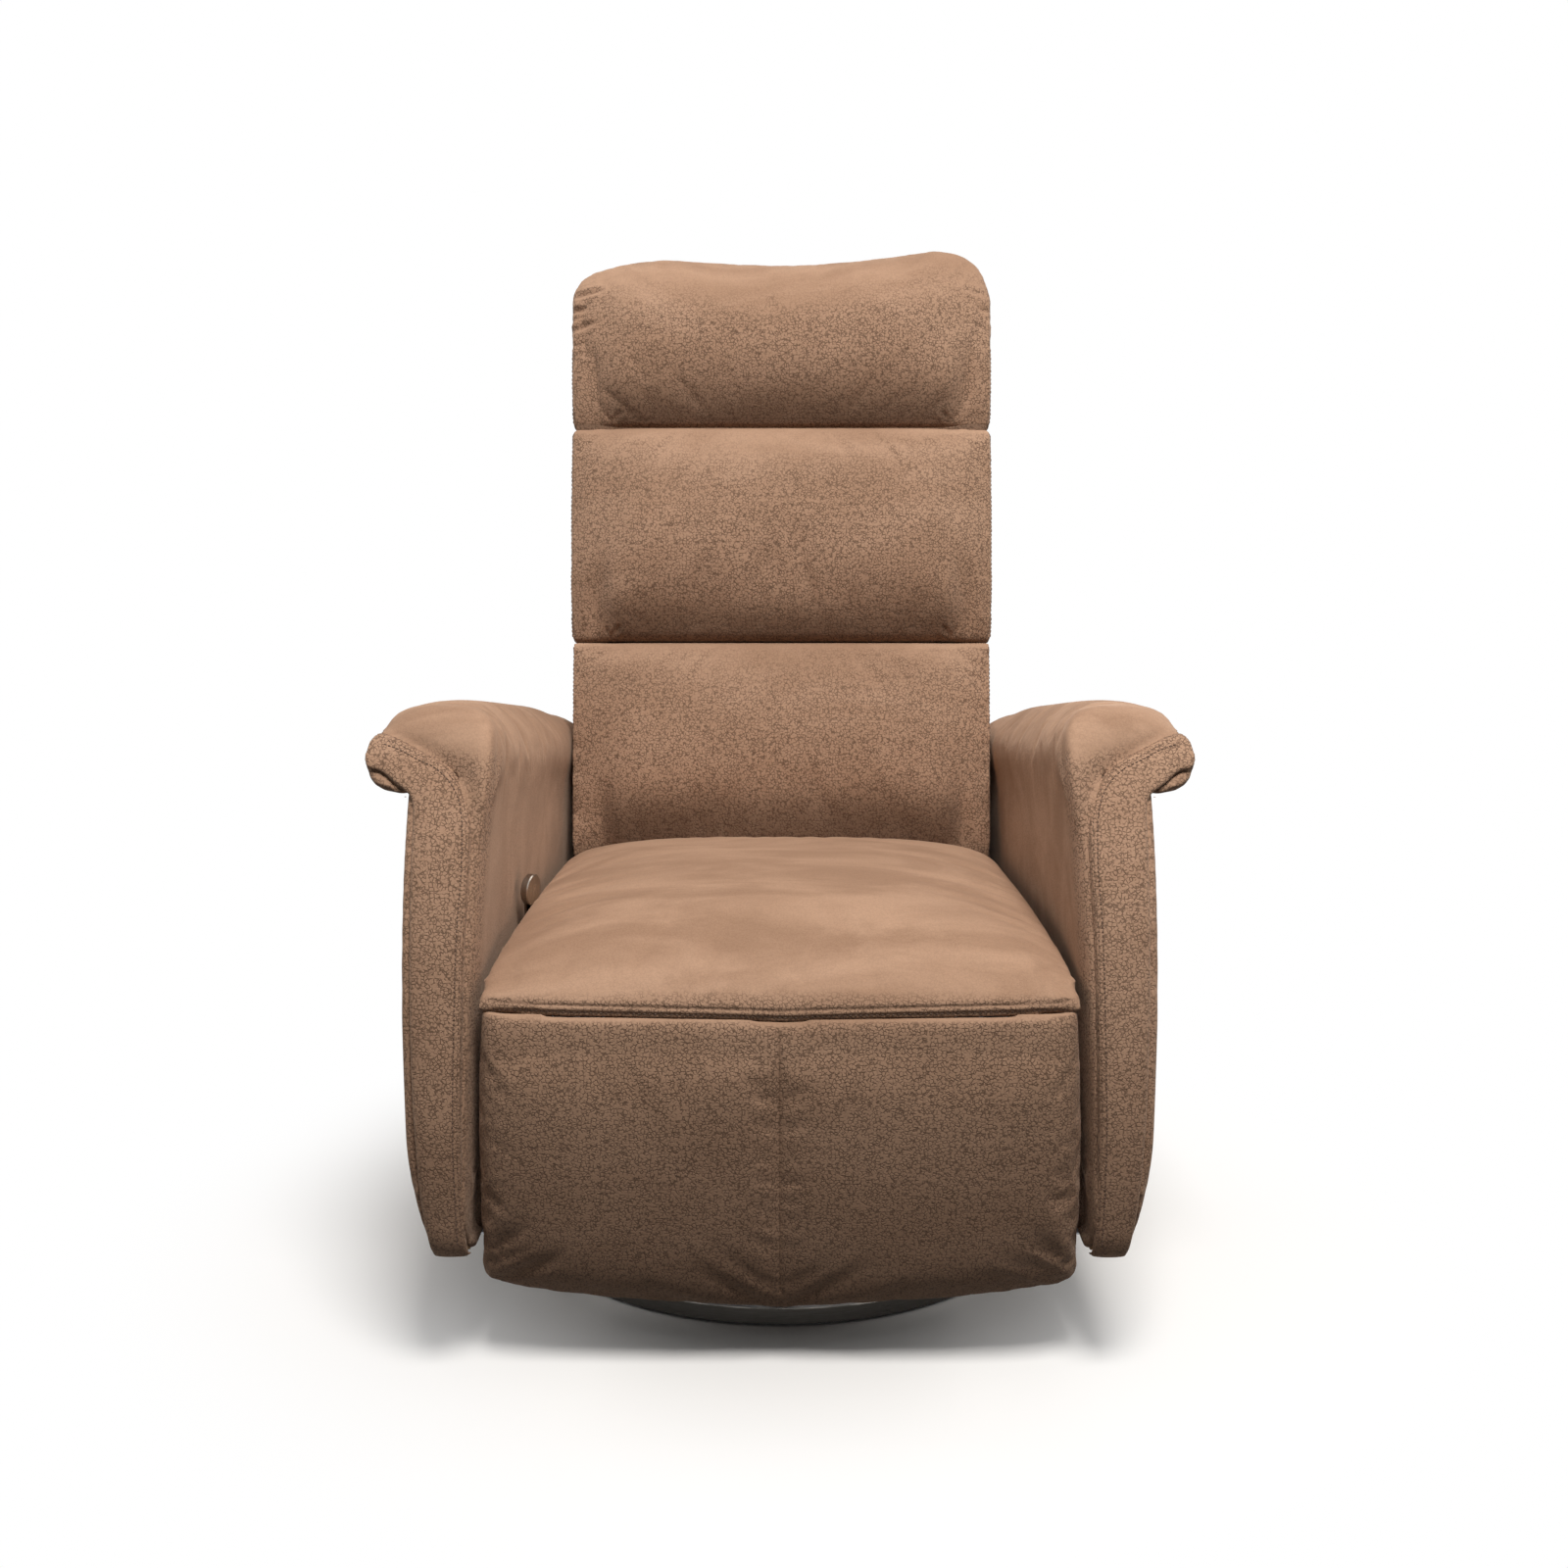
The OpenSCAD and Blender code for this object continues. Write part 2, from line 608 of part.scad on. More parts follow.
module tilt_pins() color([0.6, 0.6, 0.62]) both_sides() {
    rod_x(tilt_ear_x - 1, cradle_x + plate_t + 2 - tilt_ear_x, tilt_y, tilt_z, tilt_pin_d);
    rod_x(cradle_x + plate_t, 4, tilt_y, tilt_z, tilt_pin_d + 8);
}

module seat_frame() color([0.14, 0.14, 0.15]) {
    inside = seat_frame_x - seat_tube;
    translate([0, 0, seat_frame_z]) {
        both_sides() translate([inside, seat_frame_front_y, 0])
            cube([seat_tube, seat_frame_rear_y - seat_frame_front_y, seat_tube]);
        for (y = [seat_frame_front_y, seat_frame_rear_y - seat_tube])
            translate([-seat_frame_x, y, 0]) cube([2 * seat_frame_x, seat_tube, seat_tube]);
    }
    both_sides() translate([cradle_x - 4, seat_frame_front_y, seat_frame_z])
        cube([plate_t + 8, seat_frame_rear_y - seat_frame_front_y, seat_tube]);
}

module seat_webbing() color([0.25, 0.22, 0.20]) {
    span = seat_frame_rear_y - seat_frame_front_y - 2 * seat_tube;
    step = span / strap_count;
    for (i = [0:strap_count - 1])
        translate([-seat_frame_x + 4, seat_frame_front_y + seat_tube + step * (i + 0.5) - strap_w / 2,
            seat_frame_z + seat_tube])
            cube([2 * seat_frame_x - 8, strap_w, strap_t - soft_gap]);
}

// The seat cushion: a crowned body with drawn-in sides and a roll over its front edge
module seat_cushion() color([0.62, 0.49, 0.39]) {
    top = seat_top_z;
    profile = [[-440, seam_z], [-455, seam_z + 2], [seat_front_y, seam_z + 16], [-457, seam_z + 38],
        [-438, top - 22], [-405, top - 12], [-360, top - 5], [-300, top - 1], [-220, top], [-140, top - 1],
        [-70, top - 5], [0, top - 12], [seat_rear_y - 16, top - 19], [seat_rear_y - 2, top - 34],
        [seat_rear_y, top - 60], [seat_rear_y - 1, seat_bottom_z + 30], [seat_rear_y - 8, seat_bottom_z + 2],
        [-60, seat_bottom_z], [-200, seat_bottom_z], [seat_step_y + 12, seat_bottom_z],
        [seat_step_y + 5, seat_bottom_z + 6], [seat_step_y + 4, seam_z + 1], [seat_step_y - 2, seam_z + 4],
        [-396, seam_z + 4]];
    steps = [-1, -0.992, -0.97, -0.93, -0.86, -0.74, -0.58, -0.4, -0.2, 0, 0.2, 0.4, 0.58, 0.74, 0.86, 0.93,
        0.97, 0.992, 1];
    waist = 388;
    loft([for (u = steps) let (fall = seat_crown * pow(abs(u), 3.2), pinch = 1 - 0.30 * pow(abs(u), 26))
        [for (p = profile) let (
            half = seat_front_x + (seat_mid_x - seat_front_x) * part_way(p[0], seat_taper_y, seat_mid_y)
                + (seat_rear_x - seat_mid_x) * part_way(p[0], seat_mid_y, seat_rear_y),
            high = part_way(p[1], seam_z, top),
            z = p[1] - fall * high,
            y_pull = p[0] + (-200 - p[0]) * 0.02 * pow(abs(u), 10))
            [half * u, y_pull, waist + (z - waist) * pinch]]]);
}

module gas_spring_yoke() color([0.2, 0.2, 0.21]) {
    both_sides() difference() {
        side_plate(gas_eye_w / 2 + side_gap, plate_t, [[gas_high_y - 14, gas_high_z - 12],
            [gas_high_y + 14, gas_high_z - 12], [gas_high_y + 20, seat_frame_z], [gas_high_y - 20, seat_frame_z]]);
        rod_x(gas_eye_w / 2, plate_t + 2 * side_gap + 1, gas_high_y, gas_high_z, gas_pin_d + 2 * run_gap);
    }
    translate([-cradle_x + 4, gas_high_y - yoke_bar / 2, seat_frame_z])
        cube([2 * (cradle_x - 4), yoke_bar, seat_tube - 4]);
}

module back_brackets() color([0.2, 0.2, 0.21]) both_sides()
    side_plate(seat_frame_x - seat_tube - plate_t, plate_t,
        [[seat_frame_rear_y, seat_frame_z + 2], [board_line_y(bracket_low), bracket_low],
        [board_line_y(bracket_top), bracket_top], [board_line_y(bracket_top) - 24, bracket_top],
        [seat_rear_y + 12, seat_frame_z + seat_tube + 6], [seat_frame_rear_y, seat_frame_z + seat_tube - 2]]);

module back_board() color([0.72, 0.58, 0.40]) on_back()
    translate([-back_board_x, back_front, back_board_low])
        cube([2 * back_board_x, back_board_t, head_axis_z - 6 - back_board_low]);

// The padded shell behind the back: a tray that is open towards the back board
module back_shell() color([0.50, 0.39, 0.31]) on_back() difference() {
    shell_block(0);
    shell_block(shell_wall);
}

module shell_block(wall) {
    front = shell_front - (wall > 0 ? 1 : 0);
    deep_top = shell_front + shell_top_depth - wall;
    deep_low = shell_front + shell_bottom_depth - wall;
    r = 22 - wall / 2;
    corners = [[shell_front + r, -shell_drop + wall + r], [deep_low - r, -shell_drop + wall + r],
        [deep_top - r, shell_rise - wall - r]];
    side_plate(-shell_x + wall, 2 * (shell_x - wall), concat(
        [[front, shell_rise - wall], [front, -shell_drop + wall]],
        arc(corners[1], r, -90, 5, 5), arc(corners[2], r, 5, 90, 5)));
}

// Points on an arc round a centre
function arc(c, r, from, to, n) = [for (i = [0:n]) let (a = from + (to - from) * i / n)
    c + r * [cos(a), sin(a)]];

// One roll of the back: flat behind, crowned in front and drawn in at its ends
module roll(start, length, half, crown, dip) {
    sides = 26;
    steps = [-1, -0.985, -0.95, -0.88, -0.76, -0.6, -0.4, -0.2, 0, 0.2, 0.4, 0.6, 0.76, 0.88, 0.95, 0.985, 1];
    loft([for (u = steps) let (
        depth = 1 - 0.42 * pow(abs(u), 5),
        ear = dip > 0 ? -dip * pow(cos(90 * min(1, abs(u) / 0.7)), 2) - 50 * pow(part_way(abs(u), 0.7, 1), 2) : 0,
        shrink = abs(u) > 0.99 ? 0.9 : 1)
        [for (j = [0:sides - 1]) let (
            a = -360 * j / sides,
            c = signed_pow(cos(a), 0.62),
            s = signed_pow(sin(a), 0.62),
            y = c > 0 ? c * roll_back : c * crown * depth,
            z = start + length / 2 * (1 + s * shrink) + ear * part_way(s, -0.2, 1)
                - (c < 0 ? 8 * c * c * (1 - s * s) : 0))
            [half * u, y * (abs(u) > 0.99 ? 0.85 : 1) + (abs(u) > 0.99 ? 3 : 0), z]]]);
}

module back_roll_lower() color([0.60, 0.47, 0.37]) on_back()
    roll(low_start, roll_low_len, roll_low_x, roll_crown * 0.8, 0);

module back_roll_middle() color([0.60, 0.47, 0.37]) on_back()
    roll(mid_start, roll_mid_len, roll_x, roll_crown, 0);

module head_roll() color([0.60, 0.47, 0.37]) on_back()
    roll(head_start, roll_head_len, roll_x, roll_crown, head_dip);

// Leaves on the back board carry the headrest's rod in the seam under the head roll
module headrest_leaves() color([0.2, 0.2, 0.21]) on_back() both_sides() difference() {
    union() {
        translate([head_leaf_x, head_axis_y, head_axis_z - head_plate_t - 0.2])
            cube([head_leaf_w, back_front + back_board_t + head_plate_t - head_axis_y, head_plate_t]);
        rod_x(head_leaf_x, head_leaf_w, head_axis_y, head_axis_z, head_rod_d + 3);
        translate([head_leaf_x, back_front + back_board_t, head_axis_z - 60])
            cube([head_leaf_w, head_plate_t, 60 - 0.2]);
    }
    rod_x(head_leaf_x - 1, head_leaf_w + 2, head_axis_y, head_axis_z, head_rod_d + 2 * run_gap);
}

module headrest_rod() color([0.6, 0.6, 0.62]) on_back()
    rod_x(-head_rod_x, 2 * head_rod_x, head_axis_y, head_axis_z, head_rod_d);

module headrest_board() color([0.72, 0.58, 0.40]) on_back()
    translate([-head_board_x, back_front, head_start + 4])
        cube([2 * head_board_x, back_board_t, roll_head_len - 50]);

// Arms that carry the headrest board on the rod
module headrest_arms() color([0.2, 0.2, 0.21]) on_back() both_sides() difference() {
    union() {
        translate([head_arm_x, head_axis_y, head_axis_z + 0.2])
            cube([head_arm_w, back_front + back_board_t + head_plate_t - head_axis_y, head_plate_t]);
        rod_x(head_arm_x, head_arm_w, head_axis_y, head_axis_z, head_rod_d + 3);
        translate([head_arm_x, back_front + back_board_t, head_axis_z + 0.2])
            cube([head_arm_w, head_plate_t, 90]);
    }
    rod_x(head_arm_x - 1, head_arm_w + 2, head_axis_y, head_axis_z, head_rod_d + 2 * run_gap);
}

// Straps from the seat frame carry the footrest's hinge under the front of the seat
module footrest_straps() color([0.2, 0.2, 0.21]) both_sides() difference() {
    union() {
        side_plate(foot_strap_x, foot_strap_w, [
            [seat_step_y - 4, seat_frame_z + 2], [seat_frame_front_y, seat_frame_z + 2],
            [seat_frame_front_y, seat_frame_z + seat_tube - 2],
            [seat_step_y - 1, seat_frame_z + seat_tube - 2], [seat_step_y - 1, seam_z - 3],
            [foot_axis_y, seam_z - 3], [foot_axis_y, seam_z - 6], [seat_step_y - 4, seam_z - 6]]);
        rod_x(foot_strap_x, foot_strap_w, foot_axis_y, foot_axis_z, foot_pin_d + 5);
    }
    rod_x(foot_strap_x - 1, foot_strap_w + 2, foot_axis_y, foot_axis_z, foot_pin_d + 2 * run_gap);
}

// Rails that swing with the footrest and carry its board
module footrest_rails() color([0.16, 0.16, 0.17]) on_footrest() both_sides() difference() {
    union() {
        translate([foot_rail_x - foot_rail_w / 2, 0, -foot_pin_d / 2 - 2.5])
            cube([foot_rail_w, foot_rail_front + foot_rail_t, 2.5]);
        rod_x(foot_rail_x - foot_rail_w / 2, foot_rail_w, 0, 0, foot_pin_d + 5);
        translate([foot_rail_x - foot_rail_w / 2, foot_rail_front, foot_rail_end])
            cube([foot_rail_w, foot_rail_t, -foot_rail_end - foot_pin_d / 2]);
    }
    rod_x(foot_rail_x - foot_rail_w / 2 - 1, foot_rail_w + 2, 0, 0, foot_pin_d + 2 * run_gap);
}

module footrest_pins() color([0.6, 0.6, 0.62]) both_sides()
    rod_x(foot_strap_x - 2, foot_rail_x + foot_rail_w / 2 + 4 - foot_strap_x, foot_axis_y, foot_axis_z, foot_pin_d);

// Brackets on the rails, each with three rivets, that carry the stays
module footrest_brackets() color([0.1, 0.1, 0.1]) on_footrest() both_sides() {
    x = foot_rail_x + foot_rail_w / 2;
    difference() {
        side_plate(x, plate_t - 1, [[foot_rail_front, stay_pin_z + 60], [foot_rail_front, stay_pin_z - 46],
            [foot_rail_front + foot_rail_t, stay_pin_z - 46], [stay_pin_y + 9, stay_pin_z - 12],
            [stay_pin_y + 9, stay_pin_z + 12], [foot_rail_front + foot_rail_t, stay_pin_z + 60]]);
        rod_x(x - 1, plate_t + 2, stay_pin_y, stay_pin_z, stay_pin_d + 2 * run_gap);
    }
    for (z = [-34, 18, 44]) rod_x(x + plate_t - 1, 2, foot_rail_front + 5, stay_pin_z + z, 7);
}

// A stay with its pin, which turns in the bracket
module footrest_stays() color([0.1, 0.1, 0.1]) on_footrest() both_sides() {
    rod_x(stay_x - plate_t - 1, plate_t + 2, stay_pin_y, stay_pin_z, stay_pin_d);
    translate([0, stay_pin_y, stay_pin_z]) rotate([-foot_slope, 0, 0]) {
        side_plate(stay_x, plate_t - 1, [[0, -stay_w / 2], [stay_len, -stay_w / 2],
            [stay_len, stay_w / 2], [0, stay_w / 2]]);
        rod_x(stay_x, plate_t - 1, 0, 0, stay_w);
        rod_x(stay_x, plate_t - 1, stay_len, 0, stay_w);
        rod_x(stay_x + plate_t - 1, 3, stay_len, 0, stay_pin_d + 4);
    }
}

module footrest_board() color([0.72, 0.58, 0.40]) on_footrest()
    translate([-foot_board_x, foot_board_back - foot_board_t, -foot_len + foot_bow - 2])
        cube([2 * foot_board_x, foot_board_t, foot_len - foot_bow - 16]);

// Channels under the board that run along the rails
module footrest_runners() color([0.3, 0.3, 0.31]) on_footrest() both_sides()
    translate([foot_rail_x, foot_board_back, -20 - runner_len]) difference() {
        translate([-foot_rail_w / 2 - runner_lip, 0, 0])
            cube([foot_rail_w / 2 + runner_lip, foot_rail_t + 10, runner_len]);
        translate([-foot_rail_w / 2 - side_gap, 6 - side_gap, -1])
            cube([foot_rail_w + 2, foot_rail_t + 2 * side_gap, runner_len + 2]);
    }

// The footrest pad: crowned in front, with a round lower edge that bows down at its middle
module footrest_pad() color([0.58, 0.45, 0.35]) on_footrest() {
    steps = [-1, -0.985, -0.95, -0.87, -0.74, -0.58, -0.4, -0.2, 0, 0.2, 0.4, 0.58, 0.74, 0.87, 0.95, 0.985, 1];
    back = foot_face + foot_t;
    profile = [[foot_face + 14, 0], [foot_face + 5, 0.012], [foot_face, 0.05], [foot_face - 3, 0.2],
        [foot_face - 4, 0.4], [foot_face - 4, 0.6], [foot_face - 2, 0.8], [foot_face + 2, 0.92],
        [foot_face + 12, 0.98], [foot_face + 26, 1], [back - 16, 0.985], [back - 3, 0.95], [back, 0.88],
        [back, 0.6], [back, 0.3], [back, 0.06], [back - 6, 0.012], [back - 20, 0]];
    loft([for (u = steps) let (
        length = foot_len - 12 - foot_bow * pow(abs(u), 2.4),
        pinch = 1 - 0.35 * pow(abs(u), 14))
        [for (p = profile) let (
            s = length * p[1] + (abs(u) > 0.99 ? 4 * (0.5 - p[1]) : 0),
            half = seat_front_x + arm_flare * (s + 12))
            [-half * u, back + (p[0] - back) * pinch, foot_top - 2 - s]]]);
}

module footrest_feet() color([0.08, 0.08, 0.08]) on_footrest() both_sides()
    translate([foot_board_x - 18, foot_board_back, -foot_len + foot_bow + 24]) rotate([-90, 0, 0])
        cylinder(h = 9, d = 18);

module gas_cylinder() color([0.12, 0.12, 0.13]) on_gas_spring() difference() {
    union() {
        gas_eye(0);
        rotate([0, 90, 0]) translate([0, 0, gas_start]) cylinder(h = gas_len, d = gas_d);
        rotate([0, 90, 0]) cylinder(h = gas_start + 1, d = 14);
    }
    gas_eye_bore(0, run_gap);
    rotate([0, 90, 0]) translate([0, 0, gas_start + 20]) cylinder(h = gas_len, d = gas_rod_d + 2 * run_gap);
}

module gas_eye(at) translate([at, 0, 0]) rotate([90, 0, 0])
    translate([0, 0, -gas_eye_w / 2]) cylinder(h = gas_eye_w, d = gas_eye_d);

module gas_eye_bore(at, gap) translate([at, 0, 0]) rotate([90, 0, 0])
    translate([0, 0, -gas_eye_w / 2 - 1]) cylinder(h = gas_eye_w + 2, d = gas_pin_d + 2 * gap);

module gas_rod() color([0.75, 0.75, 0.77]) on_gas_spring() difference() {
    union() {
        gas_eye(gas_dist);
        rotate([0, 90, 0]) translate([0, 0, gas_start + gas_len - 20])
            cylinder(h = gas_dist - gas_start - gas_len + 20, d = gas_rod_d);
    }
    gas_eye_bore(gas_dist, eye_gap);
}

module gas_pin(y, z) rod_x(gas_x - gas_pin_end, 2 * gas_pin_end, y, z, gas_pin_d);

module gas_pin_lower() color([0.6, 0.6, 0.62]) gas_pin(gas_low_y, gas_low_z);

module gas_pin_upper() color([0.6, 0.6, 0.62]) gas_pin(gas_high_y, gas_high_z);

module lever_bush() color([0.1, 0.1, 0.1]) difference() {
    rod_x(lever_x + lever_t + side_gap, -seat_frame_x - lever_x - lever_t - side_gap, lever_y, lever_z, 16);
    rod_x(lever_x, 30, lever_y, lever_z, lever_shaft_d + 2 * run_gap);
}

// A flat lever with a round paddle, on a short shaft
module release_lever() color([0.72, 0.69, 0.66]) {
    translate([lever_x, lever_y, lever_z]) rotate([lever_lean, 0, 0]) {
        translate([0, -lever_w / 2, 0]) cube([lever_t, lever_w, lever_len]);
        rotate([0, 90, 0]) cylinder(h = lever_t, d = 20);
        translate([0, 0, lever_len]) rotate([0, 90, 0]) cylinder(h = lever_t, d = paddle_d);
    }
    rod_x(lever_x + lever_t - 0.5, 10, lever_y, lever_z, lever_shaft_d);
}

// The cable from the lever's shaft to the valve on the gas spring's upper eye
module release_cable() color([0.05, 0.05, 0.05]) {
    n = len(cable_points);
    sides = 8;
    loft([for (i = [0:n - 1]) let (
        d = cable_points[min(i + 1, n - 1)] - cable_points[max(i - 1, 0)],
        t = d / norm(d),
        side = cross([0, 0, 1], t) / norm(cross([0, 0, 1], t)),
        up = cross(t, side))
        [for (j = [0:sides - 1]) let (a = -360 * j / sides)
            cable_points[i] + cable_d / 2 * (cos(a) * side + sin(a) * up)]]);
}

base_disc();
base_rim();
ballast_plate();
floor_glides();
swivel_housing();
housing_screws();
lower_race();
bearing_balls();
upper_race();
swivel_spindle();
spindle_clip();
plate_bolts();
chassis_rails();
chassis_beams();
tilt_ears();
gas_spring_ears();
arm_bolts();
arm_frame_left();
arm_frame_right();
arm_outer_left();
arm_outer_right();
arm_inner_left();
arm_inner_right();
arm_pad_left();
arm_pad_right();
arm_facing_left();
arm_facing_right();
cradle_plates();
tilt_pins();
seat_frame();
seat_webbing();
seat_cushion();
gas_spring_yoke();
back_brackets();
back_board();
back_shell();
back_roll_lower();
back_roll_middle();
headrest_leaves();
headrest_rod();
headrest_board();
headrest_arms();
head_roll();
footrest_straps();
footrest_rails();
footrest_pins();
footrest_brackets();
footrest_stays();
footrest_board();
footrest_runners();
footrest_pad();
footrest_feet();
gas_cylinder();
gas_rod();
gas_pin_lower();
gas_pin_upper();
lever_bush();
release_lever();
release_cable();
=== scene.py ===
"""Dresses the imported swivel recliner: upholstery, stitches, finishes, studio and camera.

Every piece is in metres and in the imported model's own frame: Z up, the sitter faces -Y, and +X is on the
sitter's left. The soft pieces are lofted, filled by cloth simulation, and then get their seams and stitches.
"""
from __future__ import annotations

import json
import logging
import math
from collections.abc import Callable, Sequence
from dataclasses import dataclass, field
from enum import Enum
from functools import partial

import bmesh
import bpy
import numpy as np
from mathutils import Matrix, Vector, noise
from mathutils.bvhtree import BVHTree
from mathutils.geometry import tessellate_polygon
from mathutils.kdtree import KDTree

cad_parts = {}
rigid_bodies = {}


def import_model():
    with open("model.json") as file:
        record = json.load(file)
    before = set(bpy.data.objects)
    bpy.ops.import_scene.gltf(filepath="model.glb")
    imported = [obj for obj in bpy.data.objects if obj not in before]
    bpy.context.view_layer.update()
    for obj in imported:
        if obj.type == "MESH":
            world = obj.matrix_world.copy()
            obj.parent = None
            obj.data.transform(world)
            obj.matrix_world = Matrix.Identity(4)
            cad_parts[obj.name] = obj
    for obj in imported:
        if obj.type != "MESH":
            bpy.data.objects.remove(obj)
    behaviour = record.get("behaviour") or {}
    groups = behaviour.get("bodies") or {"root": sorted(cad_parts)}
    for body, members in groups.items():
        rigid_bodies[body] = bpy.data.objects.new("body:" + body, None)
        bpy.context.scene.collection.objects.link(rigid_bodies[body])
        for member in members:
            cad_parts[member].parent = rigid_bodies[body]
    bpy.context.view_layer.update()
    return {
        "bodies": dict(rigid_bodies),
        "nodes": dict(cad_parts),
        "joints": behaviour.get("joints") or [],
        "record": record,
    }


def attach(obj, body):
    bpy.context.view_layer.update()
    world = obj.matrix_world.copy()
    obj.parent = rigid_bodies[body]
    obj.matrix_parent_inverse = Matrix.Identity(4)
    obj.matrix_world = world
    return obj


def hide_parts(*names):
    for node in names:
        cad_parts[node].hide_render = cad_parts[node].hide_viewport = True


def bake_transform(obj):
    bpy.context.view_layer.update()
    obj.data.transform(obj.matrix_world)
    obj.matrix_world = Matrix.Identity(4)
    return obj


log = logging.getLogger("recliner")
MM = 0.001
BACK_LEAN, BACK_FOOT = math.radians(11.5), (0.066, 0.430)
FOOTREST_LEAN, FOOTREST_AXIS = math.radians(10.4), (-0.442, 0.378)
SEAM_STEP, PUCKER_REACH = 1.5 * MM, 12 * MM
Point = tuple[float, float, float]
Amount = Callable[[np.ndarray], np.ndarray]
Row = tuple[np.ndarray, ...]


# Small helpers


def linear(code: str) -> tuple[float, float, float, float]:
    """Turns an sRGB hex colour into linear light.

    Args:
        code: six hex digits, such as "a07d62".

    Returns:
        Red, green, blue and alpha, in linear light.
    """
    parts = [int(code[i:i + 2], 16) / 255 for i in (0, 2, 4)]
    light = [p / 12.92 if p <= 0.04045 else ((p + 0.055) / 1.055) ** 2.4 for p in parts]
    return light[0], light[1], light[2], 1.0


def add(tree: bpy.types.NodeTree, kind: str, inputs: dict | Sequence = (), out: int | str | None = 0,
        **settings: object) -> bpy.types.NodeSocket | bpy.types.Node:
    """Adds one node with its settings and links.

    Args:
        tree: the node tree.
        kind: the node's type, without ShaderNode in front.
        inputs: values, or sockets to link, by the input's name or in order.
        out: which output is wanted, or None for the node itself.
        settings: properties of the node.

    Returns:
        The wanted output, or the node.
    """
    node = tree.nodes.new(kind if "Node" in kind else "ShaderNode" + kind)
    for name, value in settings.items():
        setattr(node, name, value)
    for name, value in inputs.items() if isinstance(inputs, dict) else enumerate(inputs):
        if isinstance(value, bpy.types.NodeSocket):
            tree.links.new(value, node.inputs[name])
        else:
            node.inputs[name].default_value = value
    return node if out is None else node.outputs[out]


def smooth_step(value: np.ndarray | float, low: float, high: float) -> np.ndarray:
    """Rises smoothly from 0 at low to 1 at high.

    Args:
        value: the numbers.
        low: where the rise starts.
        high: where it ends.

    Returns:
        The risen numbers, from 0 to 1.
    """
    t = np.clip((np.asarray(value, float) - low) / (high - low), 0, 1)
    return t * t * (3 - 2 * t)


def bezier(corners: Sequence[Sequence[float]], count: int) -> np.ndarray:
    """Points on a cubic curve.

    Args:
        corners: first point, its handle, the second handle and the last point.
        count: number of points, both ends among them.

    Returns:
        The points, one in each row.
    """
    a, b, c, d = np.array(corners)
    t = np.linspace(0, 1, count)[:, None]
    s = 1 - t
    return s ** 3 * a + 3 * s * s * t * b + 3 * s * t * t * c + t ** 3 * d


def resample(line: np.ndarray, at: Callable[[float], np.ndarray]) -> np.ndarray:
    """Points of a line at the distances that at() gives for its length."""
    along = np.concatenate([[0], np.cumsum(np.linalg.norm(np.diff(line, axis=0), axis=1))])
    return np.stack([np.interp(at(along[-1]), along, column) for column in line.T], axis=1)


def rounded(points: Sequence[Sequence[float]], count: int, closed: bool = False) -> np.ndarray:
    """Runs an even, smooth line through control points.

    Args:
        points: the control points.
        count: number of points wanted.
        closed: whether the line returns to its first point.

    Returns:
        Points at even spacing along the line.
    """
    p = np.asarray(points, float)
    spans = len(p) if closed else len(p) - 1
    ends = ([p[-1]], [p[0], p[1]]) if closed else ([2 * p[0] - p[1]], [2 * p[-1] - p[-2]])
    p = np.vstack([ends[0], p, ends[1]])
    dense = []
    for i in range(spans):
        a, b, c, d = p[i:i + 4]
        before, span, after = (max(float(np.linalg.norm(q)), 1e-9) for q in (b - a, c - b, d - c))
        # Slopes weighted by the distances, so that a long stretch never bulges past a short one
        leave = ((b - a) / before * span + (c - b) / span * before) / (before + span) * span
        arrive = ((c - b) / span * after + (d - c) / after * span) / (span + after) * span
        for t in np.linspace(0, 1, 12, endpoint=False):
            dense.append((2 * t ** 3 - 3 * t * t + 1) * b + (t ** 3 - 2 * t * t + t) * leave
                         + (3 * t * t - 2 * t ** 3) * c + (t ** 3 - t * t) * arrive)
    dense.append(p[spans + 1])
    return resample(np.array(dense), lambda length: np.linspace(0, length, count, endpoint=not closed))


def spaced(path: np.ndarray, step: float) -> np.ndarray:
    """Points at an even step along a path, both in metres."""
    return resample(path, lambda length: np.arange(step / 2, length, step))


def directions(path: np.ndarray) -> np.ndarray:
    """The direction of a path at each of its points."""
    aims = np.gradient(path, axis=0)
    return aims / np.linalg.norm(aims, axis=1, keepdims=True)


def leaned(points: np.ndarray, angle: float, foot: tuple[float, float]) -> np.ndarray:
    """Turns points back about the X axis, and moves them.

    Args:
        points: points in the part's own frame.
        angle: how far the part leans back, in radians.
        foot: y and z of its own origin.

    Returns:
        The points in the model's frame.
    """
    p = np.asarray(points, float)
    return np.stack([p[..., 0], foot[0] + p[..., 1] * math.cos(angle) + p[..., 2] * math.sin(angle),
                     foot[1] - p[..., 1] * math.sin(angle) + p[..., 2] * math.cos(angle)], axis=-1)


def upright(points: np.ndarray, angle: float, foot: tuple[float, float]) -> tuple[np.ndarray, np.ndarray]:
    """Undoes leaned().

    Args:
        points: points in the model's frame.
        angle: as in leaned().
        foot: as in leaned().

    Returns:
        Their depth and their height in the part's own frame.
    """
    y, z = points[:, 1] - foot[0], points[:, 2] - foot[1]
    return y * math.cos(angle) - z * math.sin(angle), y * math.sin(angle) + z * math.cos(angle)


def on_back(points: np.ndarray) -> np.ndarray:
    """Moves points from the back's own frame to the model's frame."""
    return leaned(points, BACK_LEAN, BACK_FOOT)


def on_footrest(points: np.ndarray) -> np.ndarray:
    """Moves points from the footrest's own frame to the model's frame."""
    return leaned(points, -FOOTREST_LEAN, FOOTREST_AXIS)


